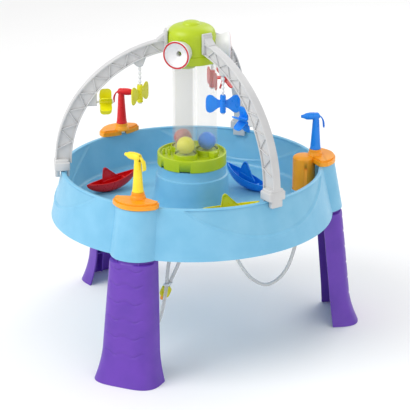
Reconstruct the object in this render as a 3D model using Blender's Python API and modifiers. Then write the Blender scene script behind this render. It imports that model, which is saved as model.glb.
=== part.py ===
"""Sand and water table on three legs.

A round basin with a column in the middle carries a tower of three clear tubes with a ball in each.
Three arches run from the rim to the tower's cap, and each holds a bow spinner and a paddle wheel.
Three pumps with swivelling squirters stand on the rim above the legs, and hoses join them to the tower.

Units are metres, +Z is up and the feet stand on z = 0. The origin is under the middle of the
bounding box. Each station (a leg with its pump, or an arch) is modelled in its own frame: X runs
out from the tower's axis, Y runs along the rim and Z is up.
"""

import math

import bmesh
import bpy
import numpy as np
from mathutils import Matrix, Vector

# Overall sizes
RIM_HEIGHT = 0.450
RIM_RADIUS = 0.345
SKIRT_FLARE = 0.029
SKIRT_RADIUS = RIM_RADIUS + SKIRT_FLARE
SKIRT_BOTTOM = 0.322
OVERALL_HEIGHT = 0.840
WALL = 0.0028
GAP = 0.0003  # between pieces that touch
SLIDE_GAP = 0.0004  # round pieces that turn or slide in each other
FACET_GAP = 0.0012  # where a piece follows the basin's curved wall

# Basin
RIM_BAND = 0.0105
FLOOR_HEIGHT = 0.350
FLOOR_OUTER_RADIUS = RIM_RADIUS - 0.030
COLUMN_TOP_RADIUS = 0.089
COLUMN_FOOT_RADIUS = 0.106
COLUMN_SHOULDER = 0.0265  # below the column's top
COLUMN_HEIGHT = 0.4557
LOBE_HALF_ANGLE = 9.4  # degrees, each side of a leg's centre line
LOBE_FLATNESS = 2.4
LOBE_FACETS = (0, 0.38, 0.75, 1)  # shares of the half angle
LOBE_OUT_RIM = 0.036
LOBE_OUT_BOTTOM = 0.031
LOBE_IN_RIM = 0.028
LOBE_IN_FLOOR = 0.016
SOCKET_HEIGHT = 0.022
SOCKET_WALL = 0.0035
DRAIN_PLACE = (0.140, 0.040)  # in the front leg's frame
DRAIN_BORE = 0.0035

# Legs
FOOT_RADIUS = SKIRT_RADIUS + 0.078
FOOT_HALF_WIDTH = 0.0895
LEG_WALL = 0.0040
LEG_TOP_PLATE = 0.006
LEG_TOP_INNER = RIM_RADIUS - 0.073
LEG_TOP_HALF_WIDTH = 0.046
LEG_SQUARENESS = 0.55

# Tower
TUBE_PITCH = 0.040
TUBE_RADIUS = 0.02825
TUBE_WALL = 0.0018
TUBE_FOOT = 0.4705
BALL_RADIUS = 0.0235
BALL_SEAT = 0.4912
BASE_RADIUS = 0.0912
BASE_TOP = 0.488
COLLAR_WALL = 0.0025
COLLAR_TOP = 0.4945
WATER_BORE = 0.003
CHANNEL_BORE = 0.0018
BARB_RADIUS = 0.0055
BARB_LENGTH = 0.018
CAP_RADIUS = 0.0625
CAP_FLANGE_RADIUS = 0.067
CAP_BOTTOM = 0.7366
CAP_WALL = 0.003
CAP_SPIGOT = 0.008

# Targets
TARGET_HEIGHT = 0.772
TARGET_FACE = 0.098
TARGET_RADIUS = 0.0365
TARGET_RING = 0.0036
TARGET_DEPTH = 0.018
TARGET_HOLE = 0.007
TARGET_WALL = 0.002

# Arches
ARCH_CENTRE = 0.470
ARCH_OUTER = (RIM_RADIUS + 0.015, 0.333)
ARCH_INNER = (RIM_RADIUS - 0.029, 0.300)
ARCH_WIDTH = 0.023
CLIP_WIDTH = 0.050
CLIP_INNER = RIM_RADIUS - 0.023
CLIP_OUTER = RIM_RADIUS + 0.018
CLIP_TOP = 0.476
CLIP_BOTTOM = 0.434
TAB_WIDTH = 0.030
TAB_TOP = 0.820
TAB_BOTTOM = 0.766
TAB_THICKNESS = 0.006

# Bow spinners and paddle wheels
SPINNER_PLACE = 0.135
SPINNER_BOTTOM = 0.6265
SPINNER_HEIGHT = 0.048
SPINNER_HUB = 0.008
BOW_SPAN = 0.088
BOW_THICKNESS = 0.003
ROD_RADIUS = 0.0028
ROD_HEAD = 0.0055
ROD_BOSS = 0.0075
WHEEL_HEIGHT = 0.631
WHEEL_WIDTH = 0.033
WHEEL_RADIUS = 0.035
WHEEL_CLEARANCE = 0.031235  # to the arch, beside the wheel's top
ARCH_LEAN = (WHEEL_HEIGHT + WHEEL_RADIUS - ARCH_CENTRE) / ARCH_INNER[1]
WHEEL_INNER = ARCH_INNER[0] * math.sqrt(1 - ARCH_LEAN**2) - WHEEL_CLEARANCE
WHEEL_HUB = 0.0075
WHEEL_BLADES = 6
BLADE_THICKNESS = 0.003
AXLE_RADIUS = 0.0030
AXLE_HEAD = 0.0055
BRACKET_INNER = WHEEL_INNER + 0.0395
BRACKET_WIDTH = 0.014

# Pumps
BARREL_STATION = "right"  # the pump that stands in the basin; the others sit on the rim
RISER_PLACE = RIM_RADIUS + 0.011  # where a hose comes up to a pump on the rim
BARREL_PLACE = RIM_RADIUS - 0.045
BARREL_RADIUS = 0.030
BARREL_WALL = 0.0025
BARREL_TOP = 0.463
PLATE_THICKNESS = 0.0165
PLATE_OUTER = RIM_RADIUS + 0.0385
PLATE_HALF_WIDTH = 0.059
PORT_LENGTH = 0.024
INTAKE_SIDE = 0.007
SWIVEL_PLACE = RIM_RADIUS - 0.015
COLLAR_HEIGHT = 0.0317  # above the rim
COLLAR_RADIUS = 0.0165
PISTON_BORE = 0.0094
PISTON_TRAVEL = 0.0021
PISTON_REST = 0.0045  # of the piston's foot, above the rim
SPIGOT_RADIUS = 0.0120
SPIGOT_DEPTH = 0.012
STEM_FOOT_RADIUS = 0.0147
STEM_TOP_RADIUS = 0.0088
STEM_TOP = 0.558
STEM_BORE = 0.0052
SPRING_BORE = 0.0092
SPRING_TOP = 0.4995
SPRING_TURNS = 4
SPRING_WIRE = 0.0006
HEAD_RADIUS = 0.0095
HEAD_HEIGHT = 0.5725
HEAD_LENGTH = 0.026
NOZZLE_REACH = 0.040
NOZZLE_TIP = 0.0042
NOZZLE_BORE = 0.0018
TRIGGER_PIVOT = (0.010, 0.574)
TRIGGER_HALF_WIDTH = 0.0039
TRIGGER_THICKNESS = 0.0032
PIN_RADIUS = 0.0015
ROD_OF_PLUNGER = 0.0036
PISTON_HEIGHT = 0.007

# Hoses
HOSE_RADIUS = 0.00475

# Boats
BOAT_LENGTH = 0.150
BOAT_BEAM = 0.045
BOAT_DEPTH = 0.030
BOAT_SHEER = 0.007
BOAT_WALL = 0.0022
FIN_HEIGHT = 0.040
FIN_LENGTH = 0.058
FIN_THICKNESS = 0.003

# Stations: angle about the tower's axis in degrees
LEG_STATIONS = {"front": 270.0, "right": 30.0, "left": 150.0}
ARCH_STATIONS = {"left": 210.0, "right": 330.0, "rear": 90.0}
SQUIRTER_AIM = {"front": 165.0, "right": 210.0, "left": 14.0}
BOW_TURN = {"left": 56.0, "right": 54.0, "rear": 40.0}
WHEEL_TURN = {"left": 0.0, "right": 12.0, "rear": 20.0}
BOATS = {
    # centre x and y from the tower's axis, heading and pitch in degrees (bow up)
    "red": ((-0.229, -0.016), 54.0, 8.0),
    "blue": ((0.100, 0.143), -17.0, -15.0),
    "yellow": ((0.150, -0.088), 36.0, 3.0),
}

# The tower's axis stands off the origin, which is under the middle of the bounding box
AXIS_Y = (FOOT_RADIUS - SKIRT_RADIUS) / 2

COLOURS = {
    # name: (red, green, blue as sRGB), roughness, alpha
    "basin_blue": ((0.47, 0.76, 0.91), 0.42, 1.0),
    "leg_purple": ((0.46, 0.28, 0.74), 0.45, 1.0),
    "lime": ((0.69, 0.80, 0.13), 0.35, 1.0),
    "clear": ((0.93, 0.94, 0.94), 0.08, 0.25),
    "arch_grey": ((0.86, 0.86, 0.86), 0.40, 1.0),
    "white": ((0.90, 0.90, 0.91), 0.35, 1.0),
    "orange": ((0.96, 0.62, 0.06), 0.38, 1.0),
    "red": ((0.84, 0.03, 0.10), 0.35, 1.0),
    "yellow": ((0.93, 0.85, 0.06), 0.35, 1.0),
    "blue": ((0.05, 0.49, 0.91), 0.35, 1.0),
    "hose": ((0.88, 0.88, 0.87), 0.25, 0.7),
    "steel": ((0.70, 0.71, 0.72), 0.30, 1.0),
}


# Scene helpers


def linear(channel):
    """An sRGB channel as the linear value that a shader takes."""
    return channel / 12.92 if channel <= 0.04045 else ((channel + 0.055) / 1.055) ** 2.4


def material(part, colour):
    """A Principled material of the part's own."""
    rgb, roughness, alpha = COLOURS[colour]
    made = bpy.data.materials.new(f"{part}_{colour}")
    made.use_nodes = True
    shader = made.node_tree.nodes["Principled BSDF"]
    shader.inputs["Base Color"].default_value = (*(linear(c) for c in rgb), 1.0)
    shader.inputs["Roughness"].default_value = roughness
    shader.inputs["Metallic"].default_value = 1.0 if colour == "steel" else 0.0
    shader.inputs["Alpha"].default_value = alpha
    return made


def collection(name):
    made = bpy.data.collections.new(name)
    bpy.context.scene.collection.children.link(made)
    return made


def add_empty(name, place, angle, parent=None):
    """An empty turned about Z by an angle in degrees."""
    empty = bpy.data.objects.new(name, None)
    empty.empty_display_size = 0.03
    empty.location = place
    empty.rotation_euler = (0, 0, math.radians(angle))
    empty.parent = parent
    PARTS.objects.link(empty)
    return empty


def add_part(name, mesh, colour, parent=None, place=(0, 0, 0), turn=(0, 0, 0)):
    """A node of the table: its mesh, which copies may share, its place and its own material."""
    part = bpy.data.objects.new(name, mesh)
    PARTS.objects.link(part)
    part.parent = parent
    part.location = place
    part.rotation_euler = [math.radians(angle) for angle in turn]
    if not mesh.materials:
        mesh.materials.append(None)
    part.material_slots[0].link = "OBJECT"
    part.material_slots[0].material = material(name, colour)
    return part


def helper(name, mesh):
    """An object that only shapes others."""
    made = bpy.data.objects.new(name, mesh)
    HELPERS.objects.link(made)
    made.hide_render = True
    made.display_type = "WIRE"
    return made


def mesh_from(name, shape):
    mesh = bpy.data.meshes.new(name)
    shape.to_mesh(mesh)
    shape.free()
    return mesh


def smooth(mesh, angle=35.0):
    mesh.shade_smooth()
    mesh.set_sharp_from_angle(angle=math.radians(angle))
    return mesh


def baked(source, name, sharp=35.0):
    """The mesh that an object's modifiers make, with its loose caps welded."""
    bpy.context.view_layer.update()
    graph = bpy.context.evaluated_depsgraph_get()
    mesh = bpy.data.meshes.new_from_object(source.evaluated_get(graph))
    mesh.name = name
    shape = bmesh.new()
    shape.from_mesh(mesh)
    bmesh.ops.remove_doubles(shape, verts=shape.verts, dist=1e-6)
    shape.to_mesh(mesh)
    shape.free()
    mesh.materials.clear()
    return smooth(mesh, sharp)


# Shapes


def box(name, low, high):
    """A box between two corners."""
    low, high = Vector(low), Vector(high)
    shape = bmesh.new()
    bmesh.ops.create_cube(shape, size=1.0)
    for corner in shape.verts:
        corner.co = [low[i] + (corner.co[i] + 0.5) * (high[i] - low[i]) for i in range(3)]
    return helper(name, mesh_from(name, shape))


def rod(name, start, end, radius, end_radius=None, sides=24):
    """A closed cylinder or cone between two points."""
    start, end = Vector(start), Vector(end)
    along = end - start
    turn = along.to_track_quat("Z", "Y").to_matrix().to_4x4()
    shape = bmesh.new()
    bmesh.ops.create_cone(
        shape,
        cap_ends=True,
        segments=sides,
        radius1=radius,
        radius2=radius if end_radius is None else end_radius,
        depth=along.length,
        matrix=Matrix.Translation((start + end) / 2) @ turn,
    )
    return helper(name, mesh_from(name, shape))


def ball(name, centre, radius, segments=16, rings=10):
    shape = bmesh.new()
    bmesh.ops.create_uvsphere(
        shape,
        u_segments=segments,
        v_segments=rings,
        radius=radius,
        matrix=Matrix.Translation(centre),
    )
    return helper(name, mesh_from(name, shape))


def turned(name, profile, steps=32, closed=False):
    """A solid turned about Z. The (radius, height) profile runs down its outer side."""
    count = len(profile)
    edges = [(i, i + 1) for i in range(count - 1)]
    if closed:
        edges.append((count - 1, 0))
    mesh = bpy.data.meshes.new(name)
    mesh.from_pydata([(radius, 0, height) for radius, height in profile], edges, [])
    made = helper(name, mesh)
    screw = made.modifiers.new("turn", "SCREW")
    screw.steps = screw.render_steps = steps
    screw.use_merge_vertices = True
    screw.merge_threshold = 1e-5
    return made


def flat(name, outline, thickness, upright=True):
    """A flat outline of the given thickness, upright in XZ or lying in XY."""
    curve = bpy.data.curves.new(name, "CURVE")
    curve.dimensions = "2D"
    curve.fill_mode = "BOTH"
    curve.extrude = thickness / 2
    line = curve.splines.new("POLY")
    line.points.add(len(outline) - 1)
    for point, (x, y) in zip(line.points, outline):
        point.co = (x, y, 0, 1)
    line.use_cyclic_u = True
    drawn = bpy.data.objects.new(name, curve)
    HELPERS.objects.link(drawn)
    mesh = baked(drawn, name)
    bpy.data.objects.remove(drawn)
    if upright:
        mesh.transform(Matrix.Rotation(math.radians(90), 4, "X"))
    return helper(name, mesh)


def pipe(name, points, radius, resolution=2):
    """A round bar or hose along points, with filled caps."""
    curve = bpy.data.curves.new(name, "CURVE")
    curve.dimensions = "3D"
    curve.bevel_depth = radius
    curve.bevel_resolution = resolution
    curve.use_fill_caps = True
    line = curve.splines.new("POLY")
    line.points.add(len(points) - 1)
    for point, place in zip(line.points, points):
        point.co = (*place, 1)
    return curve


def combined(body, others, operation="UNION"):
    """Joins helpers to a body, or cuts them from it, in the order given."""
    for other in others:
        step = body.modifiers.new(f"{operation.lower()}_{other.name}", "BOOLEAN")
        step.operation = operation
        step.solver = "EXACT"
        step.object = other
    return body


def rounded(body, width, segments=2):
    bevel = body.modifiers.new("round", "BEVEL")
    bevel.width = width
    bevel.segments = segments
    bevel.limit_method = "ANGLE"
    bevel.angle_limit = math.radians(50)
    return body


def lofted(name, rows, cap=True, ring=False):
    """A skin over rows of points; a closed ring of rows, or rows capped at each end."""
    shape = bmesh.new()
    grid = [[shape.verts.new(point) for point in row] for row in rows]
    width = len(rows[0])
    last = width if ring else width - 1
    for lower, upper in zip(grid, grid[1:]):
        for i in range(last):
            j = (i + 1) % width
            shape.faces.new((lower[i], lower[j], upper[j], upper[i]))
    if cap:
        shape.faces.new(list(reversed(grid[0])))
        shape.faces.new(grid[-1])
    bmesh.ops.recalc_face_normals(shape, faces=shape.faces)
    return helper(name, mesh_from(name, shape))


def smooth_path(knots, spacing):
    """Points at about the spacing along a Catmull-Rom curve through the knots."""
    knots = [Vector(k) for k in knots]
    knots = [2 * knots[0] - knots[1], *knots, 2 * knots[-1] - knots[-2]]
    points = [knots[1]]
    for a, b, c, d in zip(knots, knots[1:], knots[2:], knots[3:]):
        steps = max(1, round((c - b).length / spacing))
        for n in range(1, steps + 1):
            t = n / steps
            across = (c - a) * t + (2 * a - 5 * b + 4 * c - d) * t**2 + (3 * b - a - 3 * c + d) * t**3
            points.append(b + across / 2)
    return points


# The lobes of the basin over the legs


def lobe(angle):
    """How far out the basin bulges at an angle from a leg's centre line, from 0 to 1."""
    share = min(1.0, abs(angle / LOBE_HALF_ANGLE))
    bulges = [1.0 - facet**LOBE_FLATNESS for facet in LOBE_FACETS]
    return float(np.interp(share, LOBE_FACETS, bulges))


def skirt_radius(height, bulge):
    """Outer radius of the skirt, which flares towards its lower edge."""
    down = (RIM_HEIGHT - height) / (RIM_HEIGHT - SKIRT_BOTTOM)
    plain = RIM_RADIUS + (SKIRT_RADIUS - RIM_RADIUS) * down
    return plain + bulge * (LOBE_OUT_RIM + (LOBE_OUT_BOTTOM - LOBE_OUT_RIM) * down)


def wall_radius(height):
    """Inner radius of the plain basin wall, which draws in towards the floor."""
    top = RIM_RADIUS - RIM_BAND, RIM_HEIGHT - 0.003
    foot = FLOOR_OUTER_RADIUS + 0.007, FLOOR_HEIGHT + 0.009
    return foot[0] + (top[0] - foot[0]) * (height - foot[1]) / (top[1] - foot[1])


def basin_rows(bulge, niche):
    """The basin's outer surface as (radius, height), from the skirt's edge over the rim to the column."""
    inner = RIM_RADIUS - RIM_BAND + LOBE_IN_RIM * niche
    floor = FLOOR_OUTER_RADIUS + LOBE_IN_FLOOR * niche
    edge = 0.0045
    shoulder = COLUMN_HEIGHT - COLUMN_SHOULDER
    return [
        (skirt_radius(SKIRT_BOTTOM, bulge), SKIRT_BOTTOM),
        (skirt_radius(RIM_HEIGHT - edge, bulge), RIM_HEIGHT - edge),
        (skirt_radius(RIM_HEIGHT, bulge) - 0.0015, RIM_HEIGHT),
        (inner + 0.002, RIM_HEIGHT),
        (inner, RIM_HEIGHT - 0.003),
        (floor + 0.007, FLOOR_HEIGHT + 0.009),
        (floor, FLOOR_HEIGHT),
        (COLUMN_FOOT_RADIUS, FLOOR_HEIGHT),
        (COLUMN_FOOT_RADIUS - 0.006, FLOOR_HEIGHT + 0.006),
        (COLUMN_TOP_RADIUS + 0.0055, shoulder - 0.001),
        (COLUMN_TOP_RADIUS + 0.0015, shoulder + 0.001),
        (COLUMN_TOP_RADIUS, COLUMN_HEIGHT - 0.002),
        (COLUMN_TOP_RADIUS - 0.002, COLUMN_HEIGHT),
    ]


def station_point(angle, x, y, z):
    """A point given in a station's frame, as world coordinates."""
    turn = Matrix.Rotation(math.radians(angle), 4, "Z")
    return turn @ Vector((x, y, z)) + Vector((0, AXIS_Y, 0))


def make_basin():
    """One moulding: skirt, rim, moat and column, with a niche and a socket for the pump's barrel."""
    angles = []
    between = 10
    shares = [-share for share in LOBE_FACETS[:0:-1]] + list(LOBE_FACETS)
    for centre in sorted(LEG_STATIONS.values()):
        angles += [centre + LOBE_HALF_ANGLE * share for share in shares]
        free = (120 - 2 * LOBE_HALF_ANGLE) / between
        angles += [centre + LOBE_HALF_ANGLE + free * n for n in range(1, between)]
    profile = []
    for angle in angles:
        nearest = min(((angle - a + 180) % 360 - 180 for a in LEG_STATIONS.values()), key=abs)
        turn = math.radians(angle)
        bulge = lobe(nearest)
        from_barrel = (angle - LEG_STATIONS[BARREL_STATION] + 180) % 360 - 180
        rows = basin_rows(bulge, bulge if nearest == from_barrel else 0.0)
        profile.append([(r * math.cos(turn), AXIS_Y + r * math.sin(turn), z) for r, z in rows])
    rings = list(zip(*profile))
    skin = lofted("basin_skin", rings, cap=False, ring=True)
    shape = bmesh.new()
    shape.from_mesh(skin.data)
    shape.verts.ensure_lookup_table()
    last_row = len(shape.verts) - len(angles)
    rim_of_top = [v for v in shape.verts if v.co.z > COLUMN_HEIGHT - 1e-4 and v.index >= last_row]
    shape.faces.new(rim_of_top)
    bmesh.ops.recalc_face_normals(shape, faces=shape.faces)
    if sum(face.normal.z for face in shape.faces if face.calc_center_median().z < FLOOR_HEIGHT + 1e-4) < 0:
        bmesh.ops.reverse_faces(shape, faces=shape.faces)
    shape.to_mesh(skin.data)
    shape.free()
    shell = skin.modifiers.new("wall", "SOLIDIFY")
    shell.thickness = WALL
    shell.offset = -1
    shell.use_even_offset = True

    ring_outer = BARREL_RADIUS + SLIDE_GAP + SOCKET_WALL
    top, foot = FLOOR_HEIGHT + SOCKET_HEIGHT, FLOOR_HEIGHT - WALL / 2
    sockets, holes = [], []
    clear = BARB_RADIUS + 2 * SLIDE_GAP
    for station, angle in LEG_STATIONS.items():
        if station == BARREL_STATION:
            port = station_point(angle, BARREL_PLACE, 0, 0)
            profile = [(ring_outer, top), (ring_outer, foot)]
            profile += [(BARREL_RADIUS + SLIDE_GAP, foot), (BARREL_RADIUS + SLIDE_GAP, top)]
            socket = turned(f"socket_{station}", profile, 20, closed=True)
            socket.location = port
            sockets.append(socket)
            low, high = (0, 0, FLOOR_HEIGHT - 0.02), (0, 0, FLOOR_HEIGHT + 0.01)
        else:
            port = station_point(angle, RISER_PLACE, 0, 0)
            low, high = (0, 0, RIM_HEIGHT - 0.01), (0, 0, RIM_HEIGHT + 0.01)
        holes.append(rod(f"port_hole_{station}", port + Vector(low), port + Vector(high), clear, sides=10))
        barb = station_point(angle, TUBE_PITCH, 0, 0)
        low, high = (0, 0, COLUMN_HEIGHT - 0.01), (0, 0, COLUMN_HEIGHT + 0.01)
        holes.append(rod(f"barb_hole_{station}", barb + Vector(low), barb + Vector(high), clear, sides=10))
    drain = station_point(LEG_STATIONS["front"], *DRAIN_PLACE, 0)
    barb_low, barb_high = (0, 0, FLOOR_HEIGHT - WALL - BARB_LENGTH), (0, 0, FLOOR_HEIGHT - WALL / 2)
    outlet = rod("drain_outlet", drain + Vector(barb_low), drain + Vector(barb_high), BARB_RADIUS, sides=10)
    low, high = (0, 0, FLOOR_HEIGHT - 0.04), (0, 0, FLOOR_HEIGHT + 0.01)
    holes.append(rod("drain_hole", drain + Vector(low), drain + Vector(high), DRAIN_BORE, sides=8))
    combined(skin, [*sockets, outlet])
    combined(skin, holes, "DIFFERENCE")
    add_part("basin", baked(skin, "basin"), "basin_blue")


# Legs


def leg_section(height):
    """Outer radius, half width and inner edge radius of a leg at a height."""
    flare = max(0.0, 1.0 - height / 0.085) ** 1.8
    straight = 0.4355 - 0.106 * height
    outer = straight + (FOOT_RADIUS - 0.4355) * flare
    width = 0.0775 - 0.055 * height + (FOOT_HALF_WIDTH - 0.0775) * flare
    edge = 0.3735 - 0.095 * height
    return outer, width, edge


def leg_row(height):
    """Half a tube's section at a height, from one inner edge round the outside to the other."""
    outer, width, edge = leg_section(height)
    row = []
    for step in range(-5, 6):
        turn = math.radians(18 * step)
        side = math.copysign(abs(math.sin(turn)) ** LEG_SQUARENESS, step) if step else 0
        out = math.cos(turn) ** LEG_SQUARENESS if abs(step) < 5 else 0
        x, y = edge + (outer - edge) * out, width * side
        if height > SKIRT_BOTTOM - 0.008:
            angle = 1.15 * math.degrees(math.atan2(y, x))  # its steep flanks come in further
            inside = skirt_radius(height, lobe(angle)) - 1.5 * WALL - FACET_GAP
            x = min(x, math.sqrt(inside**2 - y**2))
        row.append((x, y, height))
    return row


def leg_mesh(hole_place):
    """A channel that opens towards the middle, with a plate on top that bolts under the basin."""
    top = FLOOR_HEIGHT - WALL - GAP
    over = 0.004
    heights = [-over, 0.010, 0.027, 0.050, 0.085, 0.200, SKIRT_BOTTOM - 0.007, top + over]
    shell = lofted("leg_skin", [leg_row(height) for height in heights], cap=False)
    if sum(face.normal.x for face in shell.data.polygons) < 0:
        shell.data.flip_normals()
    wall = shell.modifiers.new("wall", "SOLIDIFY")
    wall.thickness = LEG_WALL
    wall.offset = -1
    wall.use_even_offset = True
    width = leg_section(top)[1]
    narrow = (width - LEG_WALL / 2) / width
    outline = [(x - LEG_WALL / 2, y * narrow) for x, y, _ in leg_row(top)]
    outline += [(LEG_TOP_INNER, LEG_TOP_HALF_WIDTH), (LEG_TOP_INNER, -LEG_TOP_HALF_WIDTH)]
    plate = flat("leg_plate", outline, LEG_TOP_PLATE + over, upright=False)
    plate.data.transform(Matrix.Translation((0, 0, top + (over - LEG_TOP_PLATE) / 2)))
    hole_low, hole_high = (hole_place, 0, top - 0.03), (hole_place, 0, top + 0.01)
    hole = rod("leg_hose_hole", hole_low, hole_high, 0.011, sides=12)
    ground = box("leg_ground", (0.2, -0.2, -0.05), (0.6, 0.2, 0))
    above = box("leg_above", (0.2, -0.2, top), (0.6, 0.2, top + 0.05))
    combined(shell, [plate])
    combined(shell, [hole, ground, above], "DIFFERENCE")
    return baked(shell, "leg")


def make_legs():
    for station in LEG_STATIONS:
        hole_place = BARREL_PLACE if station == BARREL_STATION else RISER_PLACE
        add_part(f"leg_{station}", leg_mesh(hole_place), "leg_purple", STATIONS[station])


# Tower


def make_tower_base():
    """A cup on the column with three collars. Each has a seat for its ball and a barb for its hose."""
    low = COLUMN_HEIGHT + GAP
    plate_top = BASE_TOP - 0.007
    profile = [
        (0, plate_top),
        (BASE_RADIUS - 0.009, plate_top),
        (BASE_RADIUS - 0.006, BASE_TOP),
        (BASE_RADIUS - 0.0025, BASE_TOP),
        (BASE_RADIUS, BASE_TOP - 0.0025),
        (BASE_RADIUS, low),
        (BASE_RADIUS - 0.0035, low),
        (BASE_RADIUS - 0.0035, plate_top - 0.006),
        (BASE_RADIUS - 0.012, plate_top - 0.003),
        (0, plate_top - 0.003),
    ]
    cup = turned("base_cup", profile, 32)
    joins, grooves = [], []
    collar = TUBE_RADIUS + SLIDE_GAP + COLLAR_WALL
    for station, angle in LEG_STATIONS.items():
        turn = math.radians(angle)
        x, y = TUBE_PITCH * math.cos(turn), TUBE_PITCH * math.sin(turn)
        foot = TUBE_FOOT - 0.006
        joins.append(rod(f"collar_{station}", (x, y, foot), (x, y, COLLAR_TOP), collar, sides=20))
        barb_end = COLUMN_HEIGHT - BARB_LENGTH
        joins.append(rod(f"barb_{station}", (x, y, barb_end), (x, y, foot + 0.002), BARB_RADIUS, sides=8))
        outer, inner = TUBE_RADIUS + SLIDE_GAP, TUBE_RADIUS - TUBE_WALL - SLIDE_GAP
        above, floor = COLLAR_TOP + 0.004, TUBE_FOOT - GAP
        groove = [(0, above), (outer, above), (outer, floor)]
        groove += [(inner, floor), (inner, BALL_SEAT), (0, BALL_SEAT)]
        cut = turned(f"groove_{station}", groove, 20)
        cut.location = (x, y, 0)
        grooves.append(cut)
        ends = (x, y, barb_end - 0.01), (x, y, BALL_SEAT + 0.01)
        grooves.append(rod(f"water_{station}", *ends, WATER_BORE, sides=8))
    combined(cup, joins)
    combined(cup, grooves, "DIFFERENCE")
    add_part("tower_base", baked(cup, "tower_base"), "lime", TOWER)


def make_tubes():
    """Clear tubes between the base's collars and the cap's spigots, with a ball resting in each."""
    top = CAP_BOTTOM - GAP
    inner = TUBE_RADIUS - TUBE_WALL
    profile = [(TUBE_RADIUS, top), (TUBE_RADIUS, TUBE_FOOT), (inner, TUBE_FOOT), (inner, top)]
    tube = baked(turned("tube_wall", profile, 20, closed=True), "tube")
    sphere = baked(ball("ball_shape", (0, 0, 0), BALL_RADIUS, 12, 8), "ball")
    ball_colours = {"front": "yellow", "right": "blue", "left": "red"}
    for station in LEG_STATIONS:
        add_part(f"tube_{station}", tube, "clear", STATIONS[station], (TUBE_PITCH, 0, 0))
        place = (TUBE_PITCH, 0, BALL_SEAT + GAP + BALL_RADIUS)
        add_part(f"ball_{station}", sphere, ball_colours[station], STATIONS[station], place)


def make_cap():
    """A hollow cap: water comes up through its spigots and out of the targets' spouts."""
    inner = CAP_RADIUS - CAP_WALL
    top = OVERALL_HEIGHT
    outer_side = [
        (0, top),
        (0.015, top - 0.0005),
        (0.023, top - 0.004),
        (0.026, top - 0.008),
        (0.043, top - 0.011),
        (0.054, top - 0.017),
        (CAP_RADIUS - 0.002, top - 0.025),
        (CAP_RADIUS, top - 0.033),
        (CAP_RADIUS, CAP_BOTTOM + 0.020),
        (CAP_FLANGE_RADIUS, CAP_BOTTOM + 0.018),
        (CAP_FLANGE_RADIUS, CAP_BOTTOM),
        (0, CAP_BOTTOM),
    ]
    body = turned("cap_body", outer_side, 28)
    hollow_profile = [
        (0, top - 0.015),
        (0.036, top - 0.016),
        (inner - 0.006, top - 0.026),
        (inner, top - 0.036),
        (inner, CAP_BOTTOM + CAP_WALL),
        (0, CAP_BOTTOM + CAP_WALL),
    ]
    hollow = turned("cap_hollow", hollow_profile, 14)
    joins, cuts = [], [hollow]
    spigot = TUBE_RADIUS - TUBE_WALL - SLIDE_GAP
    for station, angle in LEG_STATIONS.items():
        turn = math.radians(angle)
        out = Vector((math.cos(turn), math.sin(turn), 0))
        place = out * TUBE_PITCH
        low, high = (0, 0, CAP_BOTTOM - CAP_SPIGOT), (0, 0, CAP_BOTTOM + 0.001)
        joins.append(rod(f"spigot_{station}", place + Vector(low), place + Vector(high), spigot, sides=20))
        low, high = (0, 0, CAP_BOTTOM - 0.02), (0, 0, CAP_BOTTOM + 0.01)
        cuts.append(rod(f"spigot_bore_{station}", place + Vector(low), place + Vector(high), 0.009, sides=12))
        level = Vector((0, 0, TARGET_HEIGHT))
        spout = TARGET_HOLE + TARGET_WALL + SLIDE_GAP
        ends = out * (inner - 0.012) + level, out * (CAP_RADIUS + 0.01) + level
        cuts.append(rod(f"spout_hole_{station}", *ends, spout, sides=14))
    combined(body, joins)
    combined(body, cuts, "DIFFERENCE")
    add_part("tower_cap", baked(body, "tower_cap"), "lime", TOWER)


def make_targets():
    """A funnel with a spout into the cap, and a coloured ring pressed round its mouth."""
    spout = TARGET_HOLE + TARGET_WALL
    mouth = TARGET_RADIUS - TARGET_RING
    depth = TARGET_DEPTH
    back = -(TARGET_FACE - CAP_RADIUS + CAP_WALL - 0.0005)
    funnel = [
        (mouth, 0),
        (mouth, -0.007),
        (spout, -depth - TARGET_WALL),
        (spout, back),
        (TARGET_HOLE, back),
        (TARGET_HOLE, -depth),
        (mouth - TARGET_WALL, -0.006),
        (mouth - TARGET_WALL, 0),
    ]
    dish = baked(turned("dish_wall", funnel, 20, closed=True), "target_dish")
    inside = mouth + GAP
    ring = [(TARGET_RADIUS, 0.0005), (TARGET_RADIUS, -0.005), (inside, -0.005), (inside, 0.0005)]
    band = baked(turned("ring_wall", ring, 20, closed=True), "target_ring")
    for station in LEG_STATIONS:
        place = (TARGET_FACE, 0, TARGET_HEIGHT)
        add_part(f"target_dish_{station}", dish, "white", STATIONS[station], place, (0, 90, 0))
        add_part(f"target_ring_{station}", band, "red", STATIONS[station], place, (0, 90, 0))


# Arches


def arch_point(axes, turn):
    """A point of an ellipse about the tower's axis, as (radius, height)."""
    return axes[0] * math.cos(turn), ARCH_CENTRE + axes[1] * math.sin(turn)


def arch_turn(axes, radius):
    """The ellipse's angle at which it is at a radius."""
    return math.acos(radius / axes[0])


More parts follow.
